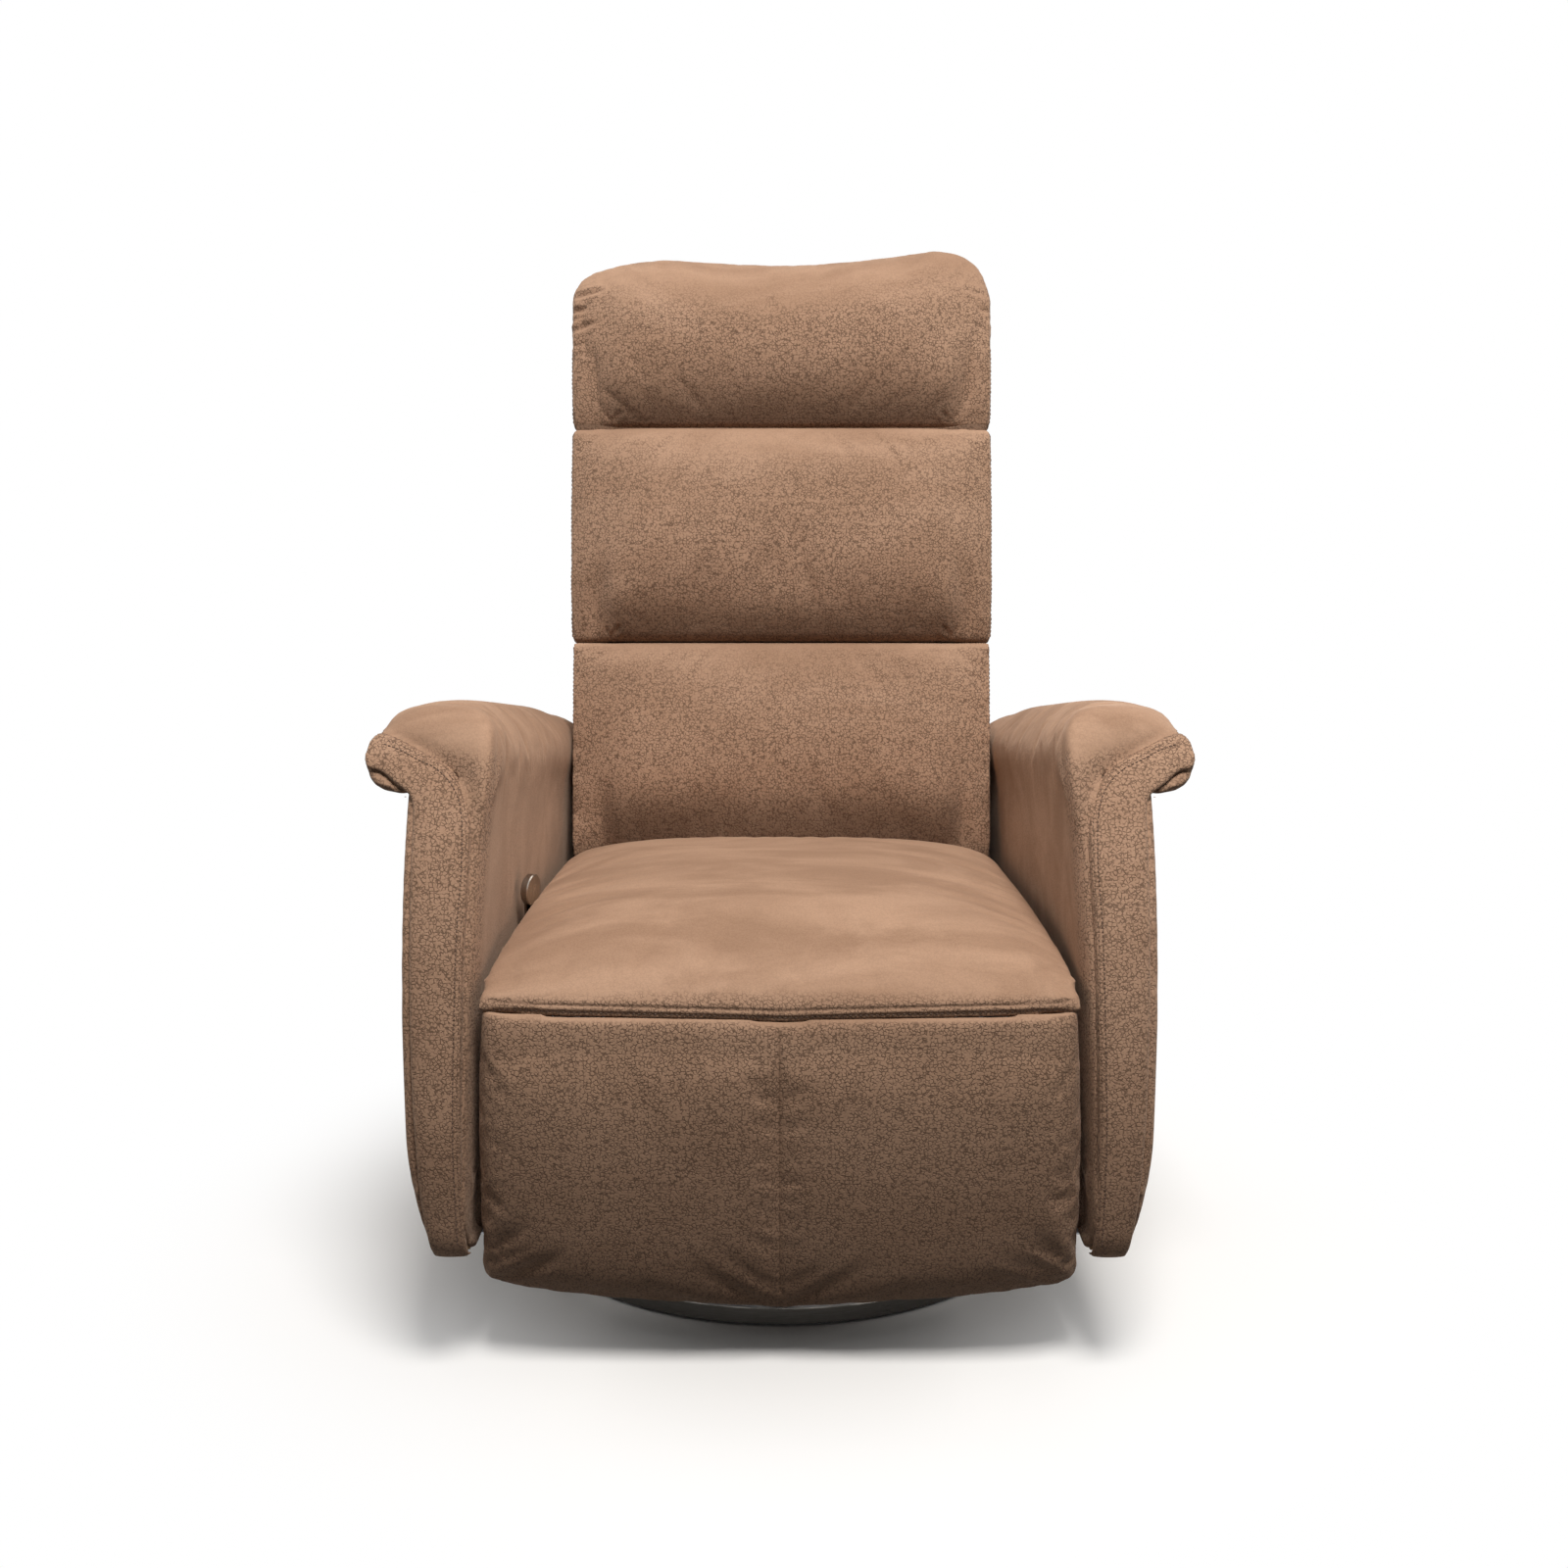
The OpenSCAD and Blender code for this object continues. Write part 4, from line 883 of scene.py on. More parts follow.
class Needle:
    """Sews rows of stitches with Geometry Nodes."""

    def __init__(self, wardrobe: Wardrobe) -> None:
        """Builds the node tree.

        Args:
            wardrobe: where the thread's finish comes from.
        """
        self.tree = bpy.data.node_groups.new("stitch_rows", "GeometryNodeTree")
        sockets = self.tree.interface
        sockets.new_socket("Seam points", in_out="INPUT", socket_type="NodeSocketGeometry")
        self.ids = {}
        for label, value in (("Stitch length", 3.6 * MM), ("Thread width", 1.1 * MM)):
            socket = sockets.new_socket(label, in_out="INPUT", socket_type="NodeSocketFloat")
            socket.default_value = value
            self.ids[label] = socket.identifier
        sockets.new_socket("Stitches", in_out="OUTPUT", socket_type="NodeSocketGeometry")
        node = partial(add, self.tree)
        seam, long, wide = list(node("NodeGroupInput", out=None).outputs)[:3]
        aim, rise = (node("GeometryNodeInputNamedAttribute", {"Name": name}, "Attribute",
                          data_type="FLOAT_VECTOR") for name in ("aim", "rise"))
        turn = node("FunctionNodeAlignRotationToVector", {"Vector": aim}, axis="X")
        stand = node("FunctionNodeAlignRotationToVector", {"Rotation": turn, "Vector": rise}, axis="Z",
                     pivot_axis="X")
        bead = node("GeometryNodeMeshUVSphere", {"Segments": 6, "Rings": 5, "Radius": 0.5}, "Mesh")
        lying = node("GeometryNodeTransform", {"Geometry": bead, "Rotation": (0.0, math.pi / 2, 0.0)})
        size = node("CombineXYZ", (long, wide, wide))
        sewn = node("GeometryNodeInstanceOnPoints", {"Points": seam, "Instance": lying, "Rotation": stand,
                                                     "Scale": size})
        real = node("GeometryNodeRealizeInstances", {0: sewn})
        thread = node("GeometryNodeSetMaterial", {"Geometry": real, "Material": wardrobe.materials["thread"]})
        node("NodeGroupOutput", {0: thread}, None)

    @staticmethod
    def row(surface: bpy.types.Object, path: np.ndarray, offset: float = 0.0) -> Row:
        """Places one row of stitches beside a path.

        Args:
            surface: the sewn piece.
            path: the path, with a point for each stitch.
            offset: distance of the row from the path, in metres.

        Returns:
            The stitches' middles, directions and surface normals.
        """
        tree = BVHTree.FromObject(surface, bpy.context.evaluated_depsgraph_get())
        aims = directions(path)
        places, rises = [], []
        for p, a in zip(path, aims):
            _, normal, _, _ = tree.find_nearest(Vector(p))
            side = Vector(a).cross(normal).normalized()
            found, normal, _, _ = tree.find_nearest(Vector(p) + side * offset)
            places.append(found + normal * 0.15 * MM)
            rises.append(normal)
        return np.array(places), aims, np.array(rises)

    def rows(self, surface: bpy.types.Object, seams: list[Seam]) -> list[Row]:
        """Places the rows of stitches of a piece's seams."""
        return [self.row(surface, spaced(seam.snapped, seam.stitch), offset) for seam in seams
                for offset in seam.rows]

    def sew(self, name: str, rows: list[Row], length: float = 3.6 * MM,
            width: float = 1.1 * MM) -> bpy.types.Object:
        """Makes one piece of all stitches that move together.

        Args:
            name: the piece's name.
            rows: what row() gave.
            length: length of a stitch.
            width: width of the thread.

        Returns:
            The stitches as one plain mesh.
        """
        places, aims, rises = (np.vstack([r[k] for r in rows]) for k in range(3))
        mesh = bpy.data.meshes.new(name)
        mesh.from_pydata(places.tolist(), [], [])
        for label, values in (("aim", aims), ("rise", rises)):
            mesh.attributes.new(label, "FLOAT_VECTOR", "POINT").data.foreach_set(
                "vector", values.astype(np.float32).ravel())
        piece = new_object(name, mesh)
        modifier = piece.modifiers.new("stitches", "NODES")
        modifier.node_group = self.tree
        modifier[self.ids["Stitch length"]] = length
        modifier[self.ids["Thread width"]] = width
        plain_mesh(piece)
        write_notes(piece.data)
        shade_smooth(piece)
        return piece


# The back


# Outline of a roll: depth, distance from its crease that shrinks beside a low ear, and fixed distance.
# The headrest's rear is full enough to hold its board.
HEAD_TOP = ((0.0655, 0.150, 0), (0.0655, 0.080, 0), (0.0650, 0.026, 0), (0.0560, 0.0095, 0),
            (0.0400, 0, 0.0025), (0.0200, 0, -0.0002), (0.001, 0, 0), (-0.0150, 0.0055, 0),
            (-0.0270, 0.0150, 0), (-0.0365, 0.0300, 0), (-0.0440, 0.0510, 0))
ROLL_TOP = ((0.0510, 0, 0.006), (0.0485, 0, 0.0015), (0.0300, 0, 0.0008), (0.0060, 0, 0.0008),
            (-0.0110, 0, 0.0020), (-0.0205, 0, 0.0018), (-0.0285, 0, 0.0045), (-0.0340, 0, 0.0120),
            (-0.0385, 0, 0.0280), (-0.0435, 0, 0.0550), (-0.0485, 0, 0.0850))
FRONT = ((-0.0540, 0.142, 0), (-0.0555, 0.115, 0), (-0.0538, 0.089, 0), (-0.0492, 0.065, 0),
         (-0.0420, 0.043, 0), (-0.0335, 0.0265, 0), (-0.0255, 0.0145, 0), (-0.0190, 0.0068, 0),
         (-0.0140, 0, 0.0030), (-0.0110, 0, 0.0016), (0.0060, 0, 0.0008), (0.0300, 0, 0.0008))
HEAD_REAR = ((0.0550, 0, 0.0010), (0.0640, 0, 0.0030), (0.0655, 0, 0.014))
ROLL_REAR = ((0.0485, 0, 0.0015), (0.0510, 0, 0.006))


@dataclass
class Back:
    """The padded back: two rolls on the seat's body, the headrest and the shell behind."""

    wardrobe: Wardrobe
    needle: Needle
    half: float = 0.2505
    seam_front: float = -0.010
    creases: tuple[float, ...] = (-0.010, 0.2515, 0.5085)
    head_high: float = 0.727
    stations: int = 67
    around: int = 90

    @staticmethod
    def flatness(u: float) -> tuple[float, float]:
        """How full a roll is at a share of its half width: low down, and further up."""
        a = abs(u)
        return 1 - 0.62 * float(smooth_step(a, 0.76, 0.90)), 1 - 0.58 * float(smooth_step(a, 0.62, 0.99))

    @staticmethod
    def head_drop(u: float) -> float:
        """How far the headrest's top lies below its highest ear, at a share of its half width.

        Args:
            u: the share, from -1 to 1.

        Returns:
            The drop, in metres.
        """
        line = rounded([(-1.0, 0.052), (-0.975, 0.040), (-0.92, 0.029), (-0.82, 0.020), (-0.61, 0.0105),
                        (-0.30, 0.0140), (0.03, 0.0165), (0.30, 0.0125), (0.56, 0.0055), (0.77, 0.0),
                        (0.88, 0.0080), (0.95, 0.0235), (0.985, 0.0400), (1.0, 0.0560)], 160)
        return float(np.interp(u, line[:, 0], line[:, 1]))

    def outline(self, low: float, high: float, u: float, fullness: float, head: bool) -> np.ndarray:
        """Outline of a roll between its creases, as depth and height in the back's own frame.

        Args:
            low: height of the crease below it.
            high: height of the crease above it, or of the headrest's top.
            u: share of the half width.
            fullness: how far the roll stands out, 1 for the middle one.
            head: whether its top is the headrest's free, rounded one.

        Returns:
            The outline's points.
        """
        k = min(1.0, (high - low - 0.112) / 0.10) if head else 1.0
        q = 0.45 + 0.55 * k
        top, rear = (HEAD_TOP, HEAD_REAR) if head else (ROLL_TOP, ROLL_REAR)
        line = rounded([(y, high - share * k - fixed) for y, share, fixed in top]
                       + [(y, low + share * q + fixed) for y, share, fixed in FRONT + rear],
                       self.around, closed=True)
        below, above = self.flatness(u)
        share = below + (above - below) * smooth_step(line[:, 1] - low, 0.03, 0.12)
        root = -0.006
        line[:, 0] = np.where(line[:, 0] < root, root + (line[:, 0] - root) * share * fullness, line[:, 0])
        return line

    def roll_rings(self, low: float, high: float, half: float, fullness: float = 1.0,
                   head: bool = False) -> np.ndarray:
        """Rings of one roll from side to side.

        Args:
            low: height of the crease below it.
            high: height of the crease above it.
            half: half of its width.
            fullness: how far it stands out, 1 for the middle one.
            head: whether it is the headrest.

        Returns:
            The rings.
        """
        rings = []
        for u in np.sin(np.linspace(-math.pi / 2, math.pi / 2, self.stations)):
            meet = 0.0006 * float(smooth_step(abs(u), 0.78, 0.90))
            top = high - self.head_drop(u) if head else high + meet
            line = self.outline(low - meet, top, u, fullness, head)
            rings.append(np.column_stack([np.full(len(line), half * u), line]))
        return on_back(np.array(rings))

    def side_seams(self, low: float, high: float, half: float) -> list[Seam]:
        """The double-stitched seams along both sides of a roll.

        Args:
            low: height where they start.
            high: height where they end.
            half: half of the roll's width.

        Returns:
            The left and the right seam.
        """
        paths = ([(side * half, self.seam_front, z) for z in np.linspace(low, high, 30)] for side in (-1, 1))
        return [Seam(on_back(path), 1.5 * MM, 1.9 * MM, rows=(4.2 * MM, -4.2 * MM), dark=0.8,
                     pucker=0.4 * MM, pucker_step=16 * MM) for path in paths]

    @staticmethod
    def pinches(crease: float) -> list[Seam]:
        """The short gathers above a crease, where its deep stretch ends.

        Args:
            crease: height of the crease.

        Returns:
            Two gathers for each side.
        """
        return [Seam(on_back([(side * start, -0.022, crease + 0.001),
                              (side * (start + lean), -0.034, crease + rise)]),
                     deep * MM, 3.0 * MM, dark=0.35, lips=0.5, refine=False)
                for side in (-1, 1)
                for start, lean, rise, deep in ((0.201, -0.010, 0.017, 2.4), (0.207, 0.010, 0.012, 1.6))]

    @staticmethod
    def held(low: float, high: float) -> Amount:
        """How firmly a roll's points are held: at its back and along its creases.

        Args:
            low: height of its lower crease.
            high: height of its upper crease.

        Returns:
            The function that SoftPiece uses.
        """
        def firmness(points: np.ndarray) -> np.ndarray:
            """Held at 1 and free at 0, for each of the points."""
            deep, tall = upright(points, BACK_LEAN, BACK_FOOT)
            near = np.minimum(tall - low, high - tall)
            crease = (1 - smooth_step(near, 0.004, 0.016)) * smooth_step(deep, -0.036, -0.026)
            side = 0.6 * smooth_step(np.abs(points[:, 0]), 0.238, 0.249)
            return np.maximum.reduce([smooth_step(deep, -0.004, 0.018), crease, side])
        return firmness

    @staticmethod
    def under(low: float) -> Amount:
        """Painted shade on the front of a roll's lower part, darkest near its lower crease, fading upwards
        and towards the sides.

        Args:
            low: height of the roll's lower crease.

        Returns:
            The function that SoftPiece uses.
        """
        def shade(points: np.ndarray) -> np.ndarray:
            """Dark at 1 and light at 0, for each of the points."""
            deep, tall = upright(points, BACK_LEAN, BACK_FOOT)
            fade = 1 - smooth_step(tall - low, 0.012, 0.072)
            middle = 1 - smooth_step(np.abs(points[:, 0]), 0.190, 0.226)
            return 0.72 * fade * smooth_step(-deep, 0.008, 0.020) * middle
        return shade

    def build(self) -> None:
        """Builds the rolls, the headrest, the shell and their stitches."""
        rows: list[Row] = []
        for index, (name, fullness, half) in enumerate((("lower", 0.90, 0.2475), ("middle", 1.0, self.half))):
            low, high = self.creases[index:index + 2]
            seams = self.side_seams(low + 0.004, high - 0.003, half)
            if index:
                seams += self.pinches(low)
            # The lower roll's painted shade starts higher up, above where the seat hides it
            piece = SoftPiece(f"back_{name}", self.roll_rings(low, high, half, fullness), Fill(cap=9 * MM),
                              seams, self.held(low, high),
                              shade=self.under(low if index else low + 0.034)).make()
            rows += self.needle.rows(piece, seams)
            self.wardrobe.dress(piece, "nubuck", "seat", [f"back_roll_{name}"], 0.7)
        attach(self.needle.sew("back_stitches", rows), "seat")
        self.build_head()
        self.build_shell()

    def build_head(self) -> None:
        """Builds the headrest's cushion and its stitches, and the strip in the crease below it."""
        low, high, half = self.creases[2], self.head_high, self.half
        seams = self.side_seams(low + 0.004, low + 0.098, half)
        for side in (-1, 1):
            # The side seam runs on round the ear and over the top
            path = [(side * half, self.seam_front, low + 0.098), (side * half, -0.008, low + 0.130)]
            for x, y in ((0.244, -0.002), (0.228, 0.006), (0.200, 0.012), (0.165, 0.015)):
                path.append((side * x, y, high - self.head_drop(side * x / half) - 0.003))
            seams.append(Seam(on_back(rounded(path, 40)), 1.6 * MM, 2.2 * MM, dark=0.7,
                              pucker=1.3 * MM, pucker_step=13 * MM))
            # Pleats where the ear's corner is gathered
            strength = 1.0 if side < 0 else 0.4
            for z, reach, rise, deep in ((0.664, 0.036, 0.008, 2.4), (0.646, 0.016, 0.004, 4.0),
                                         (0.622, 0.034, 0.009, 2.2), (0.604, 0.020, 0.004, 1.2)):
                fold = [(side * half, -0.013, z), (side * (half - reach * 0.5), -0.026, z + rise * 0.7),
                        (side * (half - reach), -0.032, z + rise)]
                seams.append(Seam(on_back(rounded(fold, 12)), deep * strength * MM, 3.2 * MM,
                                  dark=0.3 * strength, lips=0.6, refine=False))
        seams += self.pinches(low)
        piece = SoftPiece("head_cushion", self.roll_rings(low, high, half, 0.90, True), Fill(cap=9 * MM),
                          seams, self.held(low, high + 0.3), shade=self.under(low)).make()
        stitches = self.needle.sew("head_stitches", self.needle.rows(piece, seams))
        self.wardrobe.dress(piece, "nubuck", None, ["head_roll"], 0.75)
        # A strip of cover that closes the crease under the headrest, painted dark all over as the shade in
        # that crease
        strip = [[(x, y, z) for y, z in ((-0.0100, 0.4975), (-0.0070, 0.4970), (-0.0068, 0.5085),
                                         (-0.0070, 0.5200), (-0.0100, 0.5195), (-0.0098, 0.5085))]
                 for x in np.linspace(-0.246, 0.246, 60)]
        shade_strip = loft("crease_shade_strip", on_back(strip))
        write_notes(shade_strip.data, 0.8)
        self.wardrobe.dress(shade_strip, "nubuck")
        for part in (piece, stitches, shade_strip):
            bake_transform(part)

    def build_shell(self) -> None:
        """Builds the padded shell behind the back, with a seam round its rear edge."""
        rings = []
        for u in np.linspace(-1, 1, 47):
            a = abs(u)
            inset = 0.010 * float(smooth_step(a, 0.94, 1.0)) ** 2
            bulge = 0.006 * (1 - a ** 4)
            # Depth and height in four runs, each pushed in by its own shares of inset and bulge
            line = [(y + inset * iy + bulge * b, z + inset * iz) for iy, iz, b, run in (
                (1, -1, 0, ((0.0665, 0.658),)),
                (0, 0, 0, ((0.0665, 0.560), (0.0655, 0.516), (0.0500, 0.5090), (0.0475, 0.497),
                           (0.0475, 0.30), (0.0475, 0.0))),
                (1, 1, 0, ((0.0480, -0.118), (0.0600, -0.1262))),
                (0, 1, 0, ((0.10, -0.1265), (0.16, -0.1265))),
                (-1, 1, 0, ((0.206, -0.1255),)),
                (-1, 0, 1, ((0.219, -0.112), (0.2195, -0.09), (0.200, 0.12), (0.182, 0.33), (0.163, 0.55),
                            (0.147, 0.635))),
                (-1, -1, 0, ((0.132, 0.655),)),
                (0, -1, 0, ((0.10, 0.658),))) for y, z in run]
            rings.append([(0.2435 * u, y, z) for y, z in rounded(line, 130, closed=True)])
        edge = ((0.212, -0.110), (0.193, 0.12), (0.175, 0.33), (0.156, 0.55), (0.140, 0.635))
        middle = ((0.225, -0.10), (0.205, 0.12), (0.187, 0.33), (0.168, 0.55), (0.15, 0.64))
        across = [(x, 0.141 + 0.004 * (1 - (x / 0.24) ** 4), 0.650) for x in np.linspace(-0.236, 0.236, 12)]
        seams = [Seam(on_back(rounded([(side * 0.2425, y, z) for y, z in edge], 60)), 1.5 * MM, 2.0 * MM,
                      dark=0.9, pucker=0.4 * MM) for side in (-1, 1)]
        seams += [Seam(on_back(rounded(across, 60)), 1.5 * MM, 2.0 * MM, dark=0.9),
                  Seam(on_back(rounded([(0.0, y, z) for y, z in middle], 60)), 1.2 * MM, 1.8 * MM, dark=0.7)]
        piece = SoftPiece("shell_cover", on_back(rings), Fill(voxel=7.5 * MM, frames=0), seams).make()
        self.wardrobe.dress(piece, "nubuck", "seat", ["back_shell"])


# The seat and the footrest


@dataclass
class Seat:
    """The seat's crowned cover and the footrest's cover, which meet at the front seam."""

    wardrobe: Wardrobe
    needle: Needle
    top: float = 0.461
    seam_height: float = 0.3815
    rear: float = 0.0590
    blend_start: Point = (0.0, -0.405, 0.44)
    blend_end: Point = (0.0, -0.455, 0.39)

    @staticmethod
    def half_width(y: np.ndarray) -> np.ndarray:
        """Half of the seat's width at a place front to rear."""
        return np.interp(y, [-0.42, -0.24, -0.10, 0.05], [0.2790, 0.2630, 0.2560, 0.2510])

    def seam_z(self, a: float | np.ndarray) -> float | np.ndarray:
        """Height of the front seam, which dips to the middle, at a share of the half width."""
        return self.seam_height - 0.005 + 0.0075 * a ** 0.9

    def seat_rings(self) -> np.ndarray:
        """Rings of the seat's cover, from side to side."""
        top = self.top
        crown = ((0.0485, -0.052), (0.0460, -0.026), (0.0340, -0.011), (0.0100, -0.005), (-0.0600, -0.001),
                 (-0.1300, 0.001), (-0.2000, 0.001), (-0.2800, -0.002), (-0.3350, -0.007), (-0.3800, -0.0145),
                 (-0.4150, -0.0255), (-0.4380, -0.0400), (-0.4515, -0.0560))
        below = ((-0.4575, 0.3950), (-0.4592, 0.3870), (-0.4588, 0.3805), (-0.4555, 0.3762),
                 (-0.4500, 0.3762), (-0.4465, 0.3815), (-0.4430, 0.3885), (-0.4360, 0.3895),
                 (-0.3960, 0.3895), (-0.3530, 0.3895), (-0.3465, 0.3840), (-0.3455, 0.3440),
                 (-0.3360, 0.3380), (-0.2000, 0.3380), (-0.0600, 0.3380), (0.0380, 0.3395))
        y, z = rounded([(0.0470, 0.366), *((y, top + rise) for y, rise in crown), *below], 200, closed=True).T
        rings = []
        for u in np.sin(np.linspace(-math.pi / 2, math.pi / 2, 67)):
            a = abs(u)
            high = np.clip((z - 0.395) / (top - 0.395), 0, 1)
            front = 1 - smooth_step(y, -0.44, -0.20)
            tall = z - (0.021 + 0.013 * front) * a ** 3.0 * high - 0.010 * a ** 24 * high
            low_front = (1 - smooth_step(y, -0.446, -0.440)) * (1 - smooth_step(z, 0.385, 0.430))
            tall += (self.seam_z(a) - 0.3765) * low_front
            deep = y + 0.010 * a ** 10 * (y < -0.30) * smooth_step(z, 0.36, 0.40)
            rings.append(np.stack([self.half_width(y) * u, deep, tall], axis=1))
        return np.array(rings)

    def seam_path(self, rise: float) -> np.ndarray:
        """The line along the seat's front edge that dips to the middle.

        Args:
            rise: the height over the lower seam.

        Returns:
            The line's points.
        """
        x = np.linspace(-0.271, 0.271, 90)
        a = np.abs(x / 0.271)
        return np.stack([x, -0.4595 + 0.010 * a ** 10, self.seam_z(a) + rise], axis=1)

    @staticmethod
    def held_seat(points: np.ndarray) -> np.ndarray:
        """The seat's cover is held below, behind and at its front seam.

        Args:
            points: the cover's points.

        Returns:
            How firmly each is held, from 0 to 1.
        """
        low = 1 - smooth_step(points[:, 2], 0.392, 0.412)
        side = 0.7 * smooth_step(np.abs(points[:, 0]), 0.238, 0.262)
        return np.maximum.reduce([low, smooth_step(points[:, 1], 0.020, 0.046), side])

    def footrest_rings(self) -> np.ndarray:
        """Rings of the footrest's cover, from side to side."""
        front = ((-0.0095, 0.003), (-0.0135, 0.0), (-0.0172, 0.006), (-0.0198, 0.025), (-0.0228, 0.065),
                 (-0.0256, 0.13), (-0.0276, 0.22), (-0.0284, 0.35), (-0.0280, 0.48), (-0.0262, 0.60),
                 (-0.0232, 0.71), (-0.0190, 0.81), (-0.0135, 0.89), (-0.0050, 0.96), (0.0070, 0.996))
        behind = ((0.034, 0.995), (0.014, 0.965), (0.003, 0.925), (0, 0.87), (0, 0.6), (0, 0.3), (0, 0.10),
                  (0.005, 0.064), (0.018, 0.053))
        y, down = rounded([*front, *((self.rear - d, z) for d, z in behind), (0.0100, 0.053),
                           (-0.0040, 0.053), (-0.0078, 0.042), (-0.0085, 0.015)], 150, closed=True).T
        rings = []
        for u in np.sin(np.linspace(-math.pi / 2, math.pi / 2, 63)):
            a = abs(u)
            high = self.seam_z(a) - 0.3715
            z = high - down * (0.3250 + high - 0.029 * a ** 2.6 - 0.003 * a ** 24)
            half = 0.2800 - 0.050 * (z + 0.0005) - 0.003 * smooth_step(down, 0.95, 1.0)
            # A little narrower at the top, where it slides out between the arms
            half = half - 0.0022 * (1 - smooth_step(down, 0.10, 0.45))
            deep = self.rear + (y - self.rear) * (1 - 0.20 * a ** 40)
            rings.append(np.stack([-half * u, deep, z], axis=1))
        return on_footrest(np.array(rings))

    @staticmethod
    def held_footrest(points: np.ndarray) -> np.ndarray:
        """The footrest's cover is held at its back, at its top seam and along its centre seam.

        Args:
            points: the cover's points.

        Returns:
            How firmly each is held, from 0 to 1.
        """
        deep, tall = upright(points, -FOOTREST_LEAN, FOOTREST_AXIS)
        middle = 0.8 * np.exp(-(points[:, 0] / 0.006) ** 2)
        return np.maximum.reduce([smooth_step(deep, 0.012, 0.034), smooth_step(tall, -0.034, -0.014), middle])

    def build(self) -> None:
        """Builds both covers, and the stitches of the seat's cover."""
        seams = [Seam(self.seam_path(0.0120), 1.0 * MM, 1.5 * MM, dark=0.75, lips=0.2),
                 Seam(self.seam_path(0.0045), 1.0 * MM, 1.7 * MM, rows=(0.0,), dark=0.9, lips=0.45,
                      pucker=0.5 * MM, pucker_step=18 * MM)]
        piece = SoftPiece("seat_cover", self.seat_rings(), Fill(voxel=5.8 * MM, cap=12 * MM), seams,
                          self.held_seat, lambda p: 0.55 * smooth_step(p[:, 2], 0.445, 0.470)).make()
        stitches = self.needle.sew("seat_stitches", self.needle.rows(piece, seams), 3.4 * MM, 1.5 * MM)
        self.wardrobe.dress(piece, "nubuck", None, ["seat_cushion"], 0.7)
        for part in (piece, stitches):
            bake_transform(part)

        centre = [(0.0, -0.024, z) for z in np.linspace(0.0, -0.302, 40)]
        edge = [(x, 0.008, -0.3200 + 0.030 * abs(x / 0.29) ** 2.6) for x in np.linspace(-0.284, 0.284, 50)]
        seams = [Seam(on_footrest(centre), 1.5 * MM, 2.0 * MM, dark=0.75, pucker=0.4 * MM),
                 Seam(on_footrest(edge), 1.3 * MM, 2.0 * MM, dark=0.7)]
        piece = SoftPiece("footrest_cover", self.footrest_rings(), Fill(cap=6 * MM, pressure=3.0), seams,
                          self.held_footrest).make()
        self.wardrobe.dress(piece, "nubuck", None, ["footrest_pad"], 0.6)
        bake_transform(piece)


# The arms


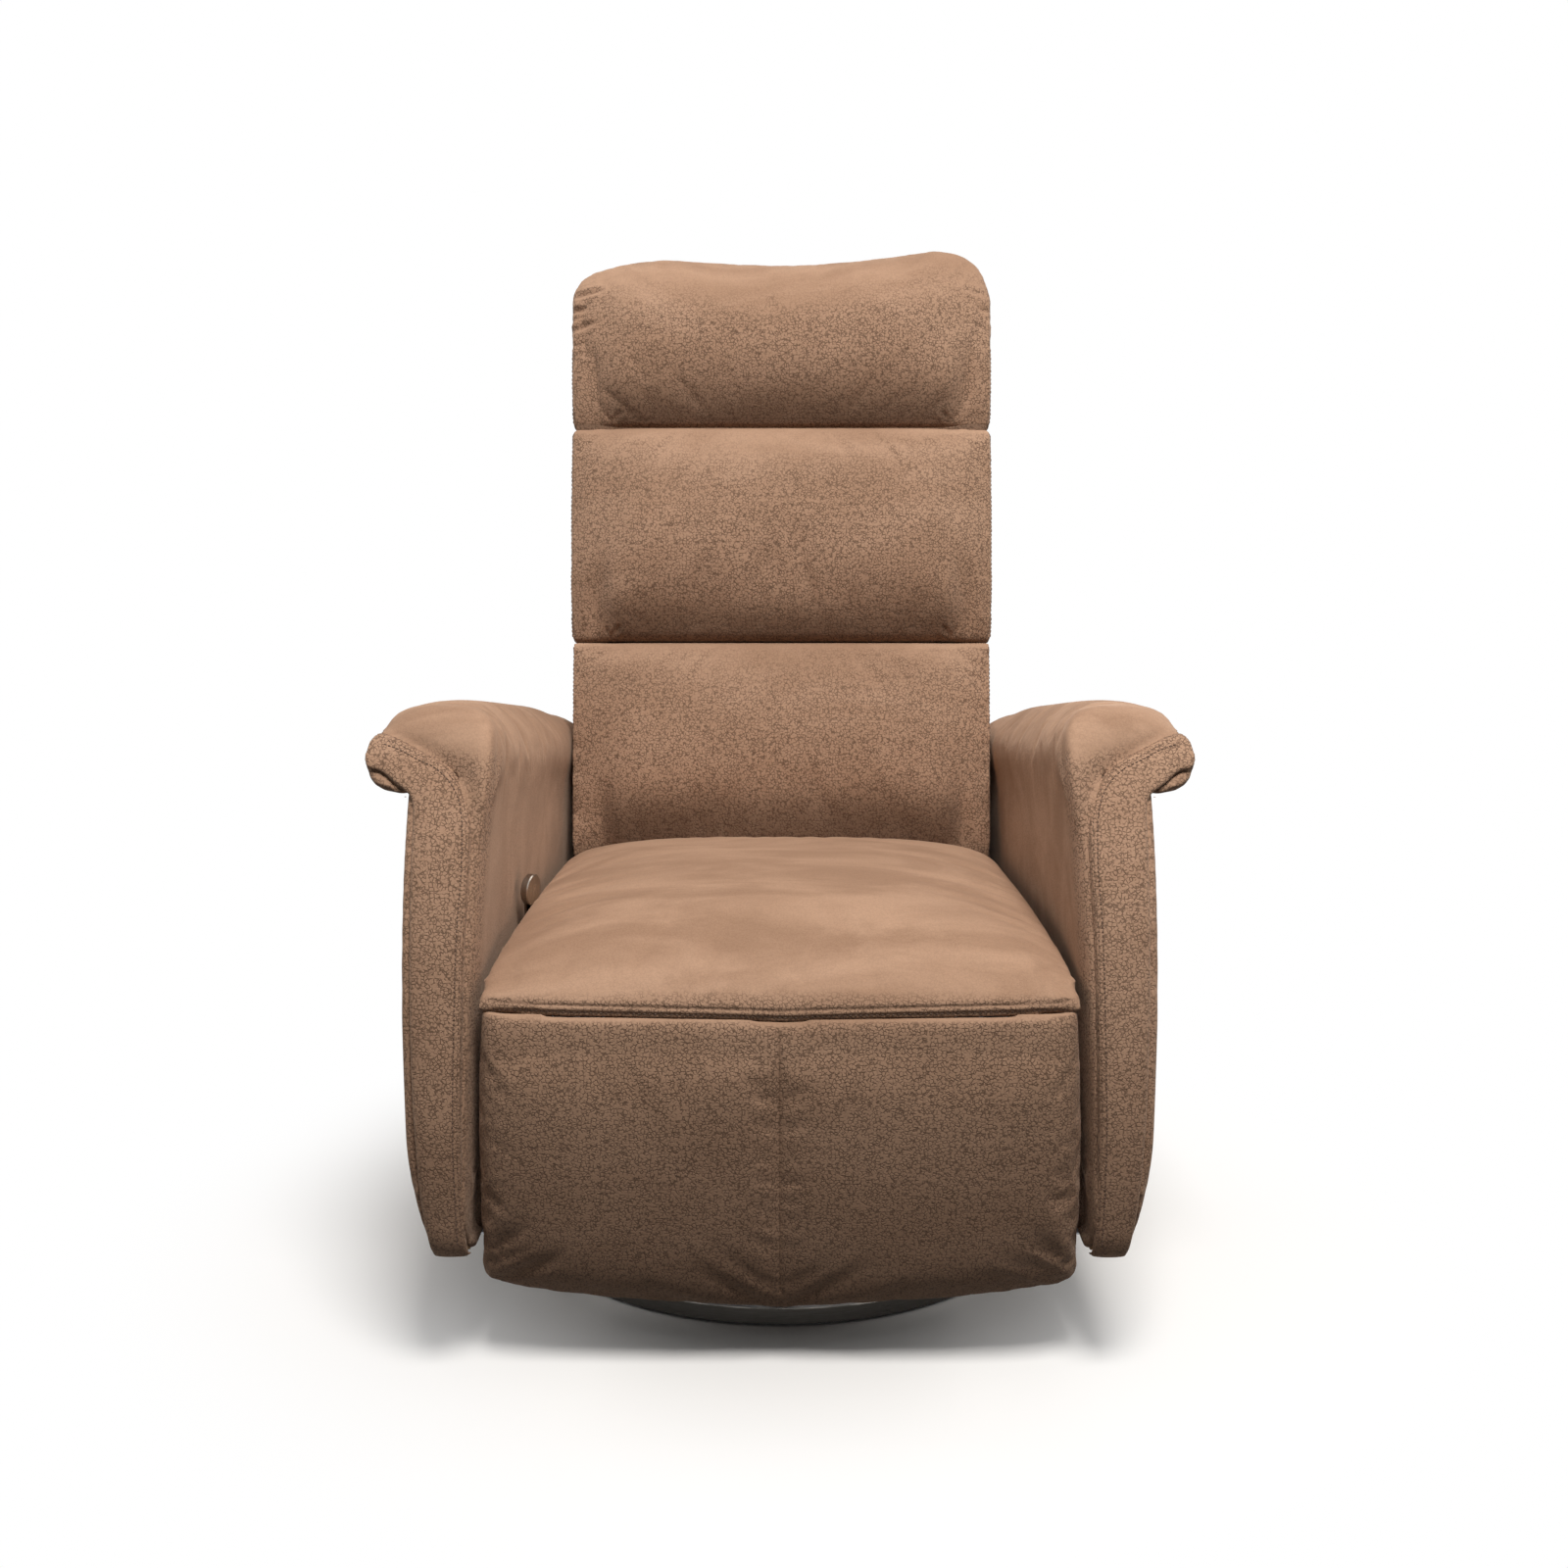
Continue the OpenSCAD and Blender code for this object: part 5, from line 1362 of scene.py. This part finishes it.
@dataclass
class Arm:
    """One arm: its cover over pad and inner face, its facing and its outer side, mirrored for the other."""

    wardrobe: Wardrobe
    needle: Needle
    outer: float = 0.352
    lip: float = 0.392
    bottom: float = 0.1255
    line_front: tuple[float, float] = (-0.370, 0.598)
    line_rear: tuple[float, float] = (0.292, 0.495)

    def __post_init__(self) -> None:
        """Draws the arm's front and rear edges, as seen from its side."""
        nose = (((-0.370, 0.598), (-0.445, 0.500), (-0.470, 0.330), (-0.436, 0.175)), 60,
                ((-0.436, 0.175), (-0.430, 0.137), (-0.418, 0.125), (-0.385, 0.125)), 20)
        tail = (((0.060, 0.125), (0.165, 0.133), (0.225, 0.180), (0.243, 0.270)), 30,
                ((0.243, 0.270), (0.255, 0.340), (0.262, 0.420), (0.292, 0.495)), 30)
        edges = [np.vstack([bezier(a, m), bezier(b, n)[1:]]) for a, m, b, n in (nose, tail)]
        self.nose, self.tail = (edge[np.argsort(edge[:, 1])] for edge in edges)

    def front_y(self, z: np.ndarray | float) -> np.ndarray:
        """Where the arm's front lies at a height."""
        over = np.maximum(np.asarray(z, float) - self.line_front[1], 0)
        return np.interp(z, self.nose[:, 1], self.nose[:, 0]) + over * 0.765 + 3.0 * over ** 2

    def rear_y(self, z: np.ndarray | float) -> np.ndarray:
        """Where the arm's rear lies at a height."""
        return np.interp(z, self.tail[:, 1], self.tail[:, 0])

    def line_z(self, y: np.ndarray | float) -> np.ndarray:
        """Height of the arm's top line, under the pad."""
        slope = (self.line_rear[1] - self.line_front[1]) / (self.line_rear[0] - self.line_front[0])
        return self.line_front[1] + (np.asarray(y, float) - self.line_front[0]) * slope

    @staticmethod
    def inner_x(y: float, z: float) -> float:
        """Distance from the middle to the arm's inner face."""
        along = min(1.0, max(0.0, (y + 0.300) / 0.400))
        return 0.2848 - 0.0235 * along + 0.055 * (0.386 - z)

    def section(self, y: float, i: int) -> tuple[float, float]:
        """One control point of the arm's section.

        Args:
            y: place front to rear.
            i: which point, from the inner bottom over the pad and back.

        Returns:
            Its distance from the middle and its height.
        """
        base, low = float(self.line_z(y)), self.bottom - 0.0022
        if i == 0:
            return 0.3210, low
        if i == 1:
            return self.inner_x(y, low) + 0.004, low
        if i < 7:
            z = min((0.150, 0.250, 0.360, 0.450, 0.535)[i - 2], base - 0.015 - 0.01 * (6 - i))
            return self.inner_x(y, z) + (0.002 if i == 2 else 0), z
        share = min(1.0, max(0.0, (y + 0.38) / 0.67))
        rear = min(1.0, max(0.03, (0.300 - y) / 0.11)) ** 0.5
        crown, drop = (0.0650 + 0.004 * share) * rear, 0.019 * rear
        reach = (self.lip - 0.0015 - self.outer) * rear
        # Over the pad, out to the lip's edge, back under it and down inside the frame
        inner, outer = self.inner_x(y, 0.600), self.outer
        pad = [(inner + x, base + c * crown) for x, c in (
            (-0.001, 0.34), (0.0015, 0.64), (0.011, 0.87), (0.028, 0.98), (0.050, 1.0))]
        pad += [(outer + x + r * reach, base + c * crown) for x, r, c in (
            (-0.010, 0.40, 0.975), (-0.001, 0.74, 0.84), (0, 0.96, 0.56), (0, 1.02, 0.15))]
        pad += [(outer + x + r * reach, base - d * drop) for x, r, d in (
            (0, 0.98, 0.50), (0, 0.66, 0.92), (0, 0.30, 0.98), (0.0040, 0, 0.80), (-0.004, 0, 0.60))]
        pad += [(0.3035, base + 0.0012), (0.3035, base - 0.12), (0.3035, 0.300), (0.3200, 0.150)]
        return pad[i - 7]

    @staticmethod
    def front_outline() -> np.ndarray:
        """The control points of the section's front end, along the facing's seam."""
        return np.array([
            (0.3200, 0.1240), (0.3030, 0.1240), (0.3010, 0.150), (0.2995, 0.250), (0.2952, 0.360),
            (0.2925, 0.450), (0.2900, 0.5300), (0.2904, 0.5500), (0.2929, 0.5655), (0.3004, 0.5815),
            (0.3116, 0.5955), (0.3248, 0.6060), (0.3430, 0.6168), (0.3691, 0.6283), (0.3862, 0.6322),
            (0.3962, 0.6205), (0.3960, 0.6020), (0.3890, 0.5900), (0.3725, 0.5835), (0.3590, 0.5730),
            (0.3500, 0.5600), (0.3035, 0.5500), (0.3035, 0.4600), (0.3035, 0.300), (0.3200, 0.150)])

    def cover_rings(self) -> np.ndarray:
        """Rings of the cover over the pad and down the inner face, front to rear."""
        outline = self.front_outline()
        front = self.front_y(outline[:, 1]) + 0.004
        reach = 0.042
        rings = []
        for t in (0.0, 0.04, 0.12, 0.25, 0.42, 0.62, 0.82, 1.0):
            swell = math.sqrt(1 - (1 - t) ** 2)
            ring = []
            for i, (x, z) in enumerate(outline):
                sx, sz = self.section(front[i] + reach, i)
                ring.append((x + (sx - x) * swell, front[i] + reach * t, z + (sz - z) * swell))
            rings.append(ring)
        for s in np.linspace(0, 1, 46)[1:] ** 0.9:
            ring = []
            for i, (_, z) in enumerate(outline):
                start = front[i] + reach
                end = float(self.rear_y(min(z, self.line_rear[1]))) if i < 7 or i > 20 else 0.2935
                y = start + (end - 0.001 - start) * s
                sx, sz = self.section(y, i)
                ring.append((sx, y, sz))
            rings.append(ring)
        return np.array([rounded(ring, 96, closed=True) for ring in rings])

    def held_cover(self, points: np.ndarray) -> np.ndarray:
        """The cover is held beside the frame, at the facing and low down.

        Args:
            points: the cover's points.

        Returns:
            How firmly each is held, from 0 to 1.
        """
        x, y, z = points.T
        base = self.line_z(y)
        frame = smooth_step(x, 0.2945, 0.3015) * (1 - smooth_step(z - base, 0.002, 0.010))
        frame = np.where((x > 0.334) & (z < base - 0.004), 0.0, frame)
        edge = 1 - smooth_step(y - self.front_y(z), 0.004, 0.022)
        low = 1 - smooth_step(z, 0.14, 0.20)
        under = (x > 0.345) & (x < 0.362) & (z < base)
        inner = 0.85 * (1 - smooth_step(x, 0.286, 0.300)) * (1 - smooth_step(z, 0.52, 0.60))
        return np.maximum.reduce([frame, edge, low, under.astype(float), inner])

    def worn_cover(self, points: np.ndarray) -> np.ndarray:
        """The inner face and the pad's top are smooth from hands; the front and the lower part are not.

        Args:
            points: the cover's points.

        Returns:
            How much more each is rubbed.
        """
        x, y, z = points.T
        inner = (1 - smooth_step(x, 0.298, 0.305)) * smooth_step(z, 0.30, 0.42)
        inner *= smooth_step(y - self.front_y(z), 0.020, 0.050)
        return 0.62 * np.maximum(inner, smooth_step(z - self.line_z(y), 0.004, 0.030))

    def facing_rings(self) -> np.ndarray:
        """Rings of the facing, from the floor end to the lip's tip."""
        # Each row joins a place on the inner seam to its counterpart on the outer one: x, z, x, z
        spans = [(0.3015, 0.1270, 0.3340, 0.1270), (0.3008, 0.190, 0.3405, 0.190),
                 (0.2990, 0.260, 0.3430, 0.260), (0.2952, 0.360, 0.3440, 0.360),
                 (0.2925, 0.450, 0.3445, 0.450), (0.2900, 0.510, 0.3448, 0.505),
                 (0.2898, 0.540, 0.3450, 0.535), (0.2918, 0.5623, 0.3455, 0.558),
                 (0.2981, 0.5815, 0.3470, 0.571),
                 (0.3092, 0.5962, 0.3515, 0.5785), (0.3235, 0.6071, 0.3590, 0.5835),
                 (0.3426, 0.6151, 0.3680, 0.5895), (0.3600, 0.6230, 0.3770, 0.5965),
                 (0.3760, 0.6288, 0.3870, 0.5998), (0.3864, 0.6305, 0.3932, 0.6012),
                 (0.3922, 0.6262, 0.3953, 0.6065), (0.3942, 0.6205, 0.3956, 0.6120)]
        across = [(0.0, 0.0060), (0.006, 0.0005), (0.03, -0.0022), (0.12, -0.0040), (0.3, -0.0052),
                  (0.5, -0.0056), (0.7, -0.0052), (0.88, -0.0040), (0.97, -0.0022), (0.994, 0.0005),
                  (1.0, 0.0060), (0.75, 0.0066), (0.5, 0.0066), (0.25, 0.0066)]
        rings = []
        for pair in rounded(spans, 120):
            a, b = pair[:2], pair[2:]
            ring = []
            for share, deep in across:
                x, z = a + (b - a) * share
                ring.append((x, float(self.front_y(z)) + deep, z))
            rings.append(rounded(ring, 48, closed=True))
        return np.array(rings)

    def side_rings(self) -> np.ndarray:
        """Rings of the outer side, from the floor to the top line."""
        rings = []
        for v in (0.0, 0.004, 0.012, 0.025, *np.linspace(0.045, 0.97, 34), 0.985, 0.996, 1.0):
            zf, zr = (self.bottom + (top - self.bottom) * v for top in (0.592, 0.4935))
            yf, yr = float(self.front_y(zf)) + 0.0005, float(self.rear_y(zr))
            low = 0.021 * max(0.0, 1 - v / 0.30) ** 2
            edge = 0.010 * (1 - float(smooth_step(min(v / 0.02, (1 - v) / 0.015), 0, 1)))
            out = self.outer - 0.0025 - low - edge
            line = [(0.3228, yr - 0.006), (0.3228, (yf + yr) / 2), (0.3228, yf + 0.014),
                    (0.3300, yf + 0.0078), (0.3456 - low - edge, yf + 0.0060),
                    (0.3470 - low - edge, yf - 0.0008), (0.3515 - low - edge, yf + 0.0020),
                    (out + 0.0038, yf + 0.012), (out + 0.0050, yf + 0.04), (out + 0.0050, yf + 0.18),
                    (out + 0.0040, (yf + yr) / 2), (out + 0.0018, yr - 0.15), (out - 0.0010, yr - 0.05),
                    (out - 0.0040, yr - 0.016), (out - 0.0110, yr - 0.003), (0.3290, yr - 0.0015)]
            rings.append(rounded([(x, y, zf + (zr - zf) * ((y - yf) / (yr - yf))) for x, y in line], 150,
                                 closed=True))
        return np.array(rings)

    @staticmethod
    def flip(piece: bpy.types.Object, name: str) -> bpy.types.Object:
        """Makes the right arm's piece from the left arm's.

        Args:
            piece: the finished piece of the left arm.
            name: the new piece's name.

        Returns:
            The mirrored piece, with its faces pointing outwards.
        """
        mesh = piece.data.copy()
        mesh.transform(((-1, 0, 0, 0), (0, 1, 0, 0), (0, 0, 1, 0), (0, 0, 0, 1)))
        mesh.flip_normals()
        mesh.update()
        mesh.attributes["rest_place"].data.foreach_set("vector", get_points(mesh).astype(np.float32).ravel())
        return new_object(name, mesh)

    def welt(self) -> bpy.types.Object:
        """The thin welt along the lower edge of the lip."""
        path = []
        for y in np.linspace(-0.286, 0.262, 90):
            x, z = self.section(y, 16)
            path.append((x + 0.0012, y, z - 0.0010))
        line = rounded(path, 160)
        rings = []
        for p, a in zip(line, directions(line)):
            side = np.cross(a, (0, 0, 1))
            side /= np.linalg.norm(side)
            up = np.cross(side, a)
            rings.append([p + 2.2 * MM * (math.cos(t) * side + math.sin(t) * up)
                          for t in np.linspace(0, 2 * math.pi, 10, endpoint=False)])
        piece = loft("lip_welt_left", rings)
        # The welt is painted a little darker all over, as shade under the lip
        write_notes(piece.data, 0.15)
        return shade_smooth(piece)

    def rear_strip(self) -> bpy.types.Object:
        """The strip of cover that closes the arm's rear edge, over its frame."""
        line = rounded([(0.0, float(self.rear_y(z)) if z > 0.128 else 0.060, z)
                        for z in (0.1255, 0.150, 0.200, 0.270, 0.340, 0.410, 0.460, 0.500)], 90)
        profile = rounded([(0.2995, -0.0030), (0.2995, 0.0010), (0.3040, 0.0032), (0.3130, 0.0038),
                           (0.3220, 0.0032), (0.3270, 0.0008), (0.3270, -0.0030)], 40, closed=True)
        rings = [[(x, p[1] + deep * a[2], p[2] - deep * a[1]) for x, deep in profile]
                 for p, a in zip(line, directions(line))]
        piece = loft("arm_rear_strip_left", rings)
        write_notes(piece.data)
        return shade_smooth(piece)

    def build(self) -> None:
        """Builds both arms."""
        lip_top = []
        for y in np.linspace(-0.340, 0.270, 60):
            x, z = self.section(y, 14)
            lip_top.append((x, y, z))
        seams = [Seam(rounded(lip_top, 120), 1.8 * MM, 2.2 * MM, rows=(4.0 * MM, -4.0 * MM), dark=0.85,
                      pucker=0.6 * MM, pucker_step=15 * MM)]
        cover = SoftPiece("arm_cover_left", self.cover_rings(), Fill(voxel=5 * MM, cap=9 * MM, pressure=3.5),
                          seams, self.held_cover, self.worn_cover, ignored=1).make()
        lip_rows = self.needle.rows(cover, seams)

        blanket = [(x, float(self.front_y(z)) - 0.001, z) for x, z in self.front_outline()[2:16]]
        seams = [Seam(rounded(blanket, 120), 0.4 * MM, 1.5 * MM, dark=0.9, lips=0.0, refine=False)]
        facing = SoftPiece("arm_facing_cover_left", self.facing_rings(),
                           Fill(voxel=2.6 * MM, frames=0, refine=False), seams,
                           nap=lambda p: np.full(len(p), -1.0)).make()
        front_row, thin_row = (self.facing_row(facing, inset) for inset in (7.5 * MM, 3.5 * MM))

        line = rounded([(self.outer, y, z) for y, z in ((-0.010, 0.555), (-0.022, 0.495), (-0.050, 0.319),
                                                        (-0.079, 0.158), (-0.084, 0.132))], 60)
        side = SoftPiece("arm_side_left", self.side_rings(), Fill(voxel=7 * MM, frames=0),
                         [Seam(line, 1.3 * MM, 2.0 * MM, dark=0.7, pucker=0.3 * MM)]).make()

        for piece, name, nodes in ((cover, "arm_cover", ("arm_pad_", "arm_inner_")),
                                   (facing, "arm_facing_cover", ("arm_facing_",)),
                                   (side, "arm_side", ("arm_outer_",)), (self.welt(), "lip_welt", ()),
                                   (self.rear_strip(), "arm_rear_strip", ())):
            other = self.flip(piece, f"{name}_right")
            for part, word in ((piece, "left"), (other, "right")):
                self.wardrobe.dress(part, "nubuck", "chassis", [n + word for n in nodes],
                                    0.6 if nodes else 0.0)
        for word, turn in (("left", 1.0), ("right", -1.0)):
            for name, rows, length, width in (("lip_stitches", lip_rows, 3.6, 1.1),
                                              ("facing_stitches", [front_row], 3.2, 1.7),
                                              ("facing_ticks", [thin_row], 2.4, 0.9)):
                turned = [tuple(part * np.array([turn, 1, 1]) for part in row) for row in rows]
                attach(self.needle.sew(f"{name}_{word}", turned, length * MM, width * MM), "chassis")

    def facing_row(self, facing: bpy.types.Object, inset: float) -> Row:
        """One row of stitches on the facing, beside its inner seam.

        Args:
            facing: the finished facing.
            inset: distance of the row from the seam.

        Returns:
            The row, as Needle.row gives it.
        """
        inner = rounded([(0.3008, 0.150), (0.2990, 0.260), (0.2952, 0.360), (0.2925, 0.450), (0.2898, 0.540),
                         (0.2918, 0.5623), (0.2981, 0.5815), (0.3092, 0.5962), (0.3235, 0.6071),
                         (0.3426, 0.6151), (0.3600, 0.6230), (0.3760, 0.6280)], 200)
        aims = directions(inner)
        shifted = inner + inset * np.stack([aims[:, 1], -aims[:, 0]], axis=1)
        path = np.array([(x, float(self.front_y(z)) - 0.003, z) for x, z in shifted])
        return self.needle.row(facing, spaced(path, 4.3 * MM))


# Hard pieces


@dataclass
class Lever:
    """The release lever: a flat satin strip with a thick round paddle, on a short shaft."""

    wardrobe: Wardrobe
    shaft: Point = (-0.2655, -0.190, 0.3225)
    length: float = 0.126
    lean: float = 9.0
    turn: float = 19.0
    paddle: float = 16.5 * MM

    def place(self, rings: Sequence, turn: float) -> np.ndarray:
        """Turns rings about the lever's own length, leans them back and moves them to the shaft.

        Args:
            rings: points as thickness, width and length.
            turn: angle about the length, in degrees.

        Returns:
            The points in the model's frame.
        """
        across, wide, long = np.moveaxis(np.asarray(rings, float), -1, 0)
        t, lean = math.radians(turn), math.radians(self.lean)
        x, y = across * math.cos(t) + wide * math.sin(t), wide * math.cos(t) - across * math.sin(t)
        return np.stack([x, y * math.cos(lean) - long * math.sin(lean),
                         y * math.sin(lean) + long * math.cos(lean)], axis=-1) + np.array(self.shaft)

    def build(self) -> None:
        """Builds the paddle, the strip and the shaft's end as one piece."""
        circle = np.linspace(0, 2 * math.pi, 48, endpoint=False)
        disc, foot = ([[(x, r * math.cos(a), up + r * math.sin(a)) for a in circle] for x, r in form]
                      for up, form in (
            (self.length, ((-0.0040, self.paddle - 0.0012), (-0.0030, self.paddle), (0.0030, self.paddle),
                           (0.0040, self.paddle - 0.0012))),
            (0.0, ((-0.0022, 0.0082), (-0.0017, 0.0088), (0.0106, 0.0088), (0.0110, 0.0082)))))
        strip = []
        for share in np.linspace(0, 1, 16):
            twist = math.radians(self.turn) * float(smooth_step(share, 0.1, 0.7))
            section = [(x * math.cos(twist) + y * math.sin(twist), y * math.cos(twist) - x * math.sin(twist))
                       for x, y in ((-0.0015, -0.0060), (-0.0009, -0.0065), (0.0009, -0.0065),
                                    (0.0015, -0.0060), (0.0015, 0.0060), (0.0009, 0.0065),
                                    (-0.0009, 0.0065), (-0.0015, 0.0060))]
            strip.append([(x, y, 0.004 + (self.length - 0.016) * share) for x, y in section])
        parts = [loft("lever_paddle", self.place(disc, self.turn) + np.array([3.5 * MM, 0.0, 0.0])),
                 loft("lever_foot", self.place(foot, 0.0)), loft("lever_strip", self.place(strip, 0.0))]
        bpy.ops.object.select_all(action="DESELECT")
        for part in parts:
            part.select_set(True)
        bpy.context.view_layer.objects.active = parts[0]
        bpy.ops.object.join()
        self.wardrobe.dress(parts[0], "lever_nickel", "lever", ["release_lever"])


@dataclass
class HardParts:
    """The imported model's rigid nodes, which keep their shapes and get real finishes."""

    wardrobe: Wardrobe
    frame: dict

    def build(self) -> None:
        """Gives each rigid node the finish of its slot."""
        slots = {part["node"]: part["material_slot"] for part in self.frame["record"]["subparts"]}
        for name, node in self.frame["nodes"].items():
            node.data.materials.clear()
            node.data.materials.append(self.wardrobe.materials[slots[name]])
            if slots[name] == "nubuck":
                write_notes(node.data)
        log.info("finished %d packed nodes", len(self.frame["nodes"]))


# Studio and camera


@dataclass
class Studio:
    """A pale floor, a white surround and soft lamps."""

    floor_radius: float = 6.0

    def build(self) -> None:
        """Builds the floor, the world and the lamps."""
        self.floor()
        self.world()
        self.lamp("key", (0.30, -1.88, 3.00), (0, -0.1, 0.65), 0.9, 102)
        self.lamp("over", (0.0, -0.4, 3.2), (0, -0.1, 0.5), 1.6, 6)
        self.lamp("rear", (0.8, 3.0, 2.2), (0, 0.1, 0.6), 2.0, 26)
        self.lamp("left", (3.2, 0.9, 1.7), (0, 0.0, 0.6), 1.8, 38)
        self.lamp("right", (-3.2, 0.9, 1.7), (0, 0.0, 0.6), 1.8, 38)

    @staticmethod
    def lamp(name: str, at: Point, towards: Point, size: float, watts: float) -> None:
        """Adds one soft square lamp, warm like the photograph's room light.

        Args:
            name: its name.
            at: its place.
            towards: the point that it lights.
            size: its side.
            watts: its power.
        """
        data = bpy.data.lights.new(name, "AREA")
        data.shape = "SQUARE"
        data.size = size
        data.energy = watts
        data.color = (1.0, 0.965, 0.93)
        lamp = bpy.data.objects.new(name, data)
        lamp.location = at
        lamp.rotation_euler = (Vector(towards) - Vector(at)).to_track_quat("-Z", "Y").to_euler()
        bpy.context.scene.collection.objects.link(lamp)

    @staticmethod
    def seen(tree: bpy.types.NodeTree) -> tuple[bpy.types.Node, bpy.types.NodeSocket]:
        """Tells rays of the camera and of reflections from the others.

        Args:
            tree: the node tree.

        Returns:
            The light path's node, and 1 for such rays.
        """
        ray = add(tree, "LightPath", out=None)
        return ray, add(tree, "Math", (ray.outputs["Is Camera Ray"], ray.outputs["Is Glossy Ray"]),
                        operation="MAXIMUM")

    def floor(self) -> None:
        """The floor: matt and pale, white to the camera far from the chair, with the chair's soft shadow."""
        circle = np.linspace(0, 2 * math.pi, 64, endpoint=False)
        piece = loft("floor", [[(r * math.cos(a), r * math.sin(a), z) for a in circle] for r, z in (
            (0.01, -0.004), (self.floor_radius, -0.004), (self.floor_radius, 0.0), (0.01, 0.0))])
        material = bpy.data.materials.new("studio_floor")
        material.use_nodes = True
        tree = material.node_tree
        tree.nodes.clear()
        where = add(tree, "TexCoord", out="Object")
        reach = add(tree, "VectorMath", {0: where}, "Value", operation="LENGTH")
        far = add(tree, "MapRange", (reach, 0.30, 0.80), **SOFT)
        ray, seen = self.seen(tree)
        share = add(tree, "Math", (far, seen), operation="MULTIPLY")
        mottle = add(tree, "TexNoise", {"Vector": where, "Scale": 3.0})
        bounce = add(tree, "Math", (mottle, 0.05, 0.10), operation="MULTIPLY_ADD")
        # Only the camera sees the floor as pale; the light it throws back on the chair is weaker
        pale = add(tree, "Math", (bounce, ray.outputs["Is Camera Ray"]), operation="MAXIMUM")
        tone = add(tree, "Mix", {0: pale, 6: (0.0, 0.0, 0.0, 1.0), 7: linear("fbfbfa")}, 2, data_type="RGBA")
        matt = add(tree, "BsdfPrincipled", {"Base Color": tone, "Roughness": 0.9})
        white = add(tree, "Emission", {"Color": (1, 1, 1, 1), "Strength": 1.0})
        mix = add(tree, "MixShader", (share, matt, white))
        add(tree, "OutputMaterial", {"Surface": mix}, None)
        piece.data.materials.append(material)

    def world(self) -> None:
        """White to the camera and in reflections, and a gentle grey light on everything else."""
        world = bpy.data.worlds.new("surround")
        bpy.context.scene.world = world
        world.use_nodes = True
        tree = world.node_tree
        tree.nodes.clear()
        ray, seen = self.seen(tree)
        seen = add(tree, "Math", (seen, ray.outputs["Is Transmission Ray"]), operation="MAXIMUM")
        strength = add(tree, "MapRange", {"Value": seen, "To Min": 0.06, "To Max": 1.0})
        white = add(tree, "Background", {"Color": (1, 1, 1, 1), "Strength": strength})
        add(tree, "OutputWorld", {"Surface": white}, None)


@dataclass
class Camera:
    """The camera at the photograph's viewing angle."""

    place: Point = (0.007, -2.119, 0.878)
    pitch: float = 9.48
    yaw: float = 0.10
    lens: float = 42.8

    def build(self) -> None:
        """Sets the scene's camera and the plain view settings."""
        data = bpy.data.cameras.new("camera")
        data.lens = self.lens
        data.sensor_width = 36
        data.clip_start, data.clip_end = 0.05, 60
        camera = bpy.data.objects.new("camera", data)
        camera.location = self.place
        camera.rotation_euler = (math.radians(90 - self.pitch), 0, math.radians(self.yaw))
        bpy.context.scene.collection.objects.link(camera)
        bpy.context.scene.camera = camera
        bpy.context.scene.view_settings.view_transform = "Standard"


def main() -> None:
    """Builds the chair's looks piece by piece."""
    logging.basicConfig(level=logging.INFO, format="%(name)s: %(message)s")
    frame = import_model()
    Camera().build()
    wardrobe = Wardrobe()
    needle = Needle(wardrobe)
    HardParts(wardrobe, frame).build()
    for maker in (Seat, Back, Arm):
        maker(wardrobe, needle).build()
    Lever(wardrobe).build()
    Studio().build()


if __name__ == "__main__":
    main()
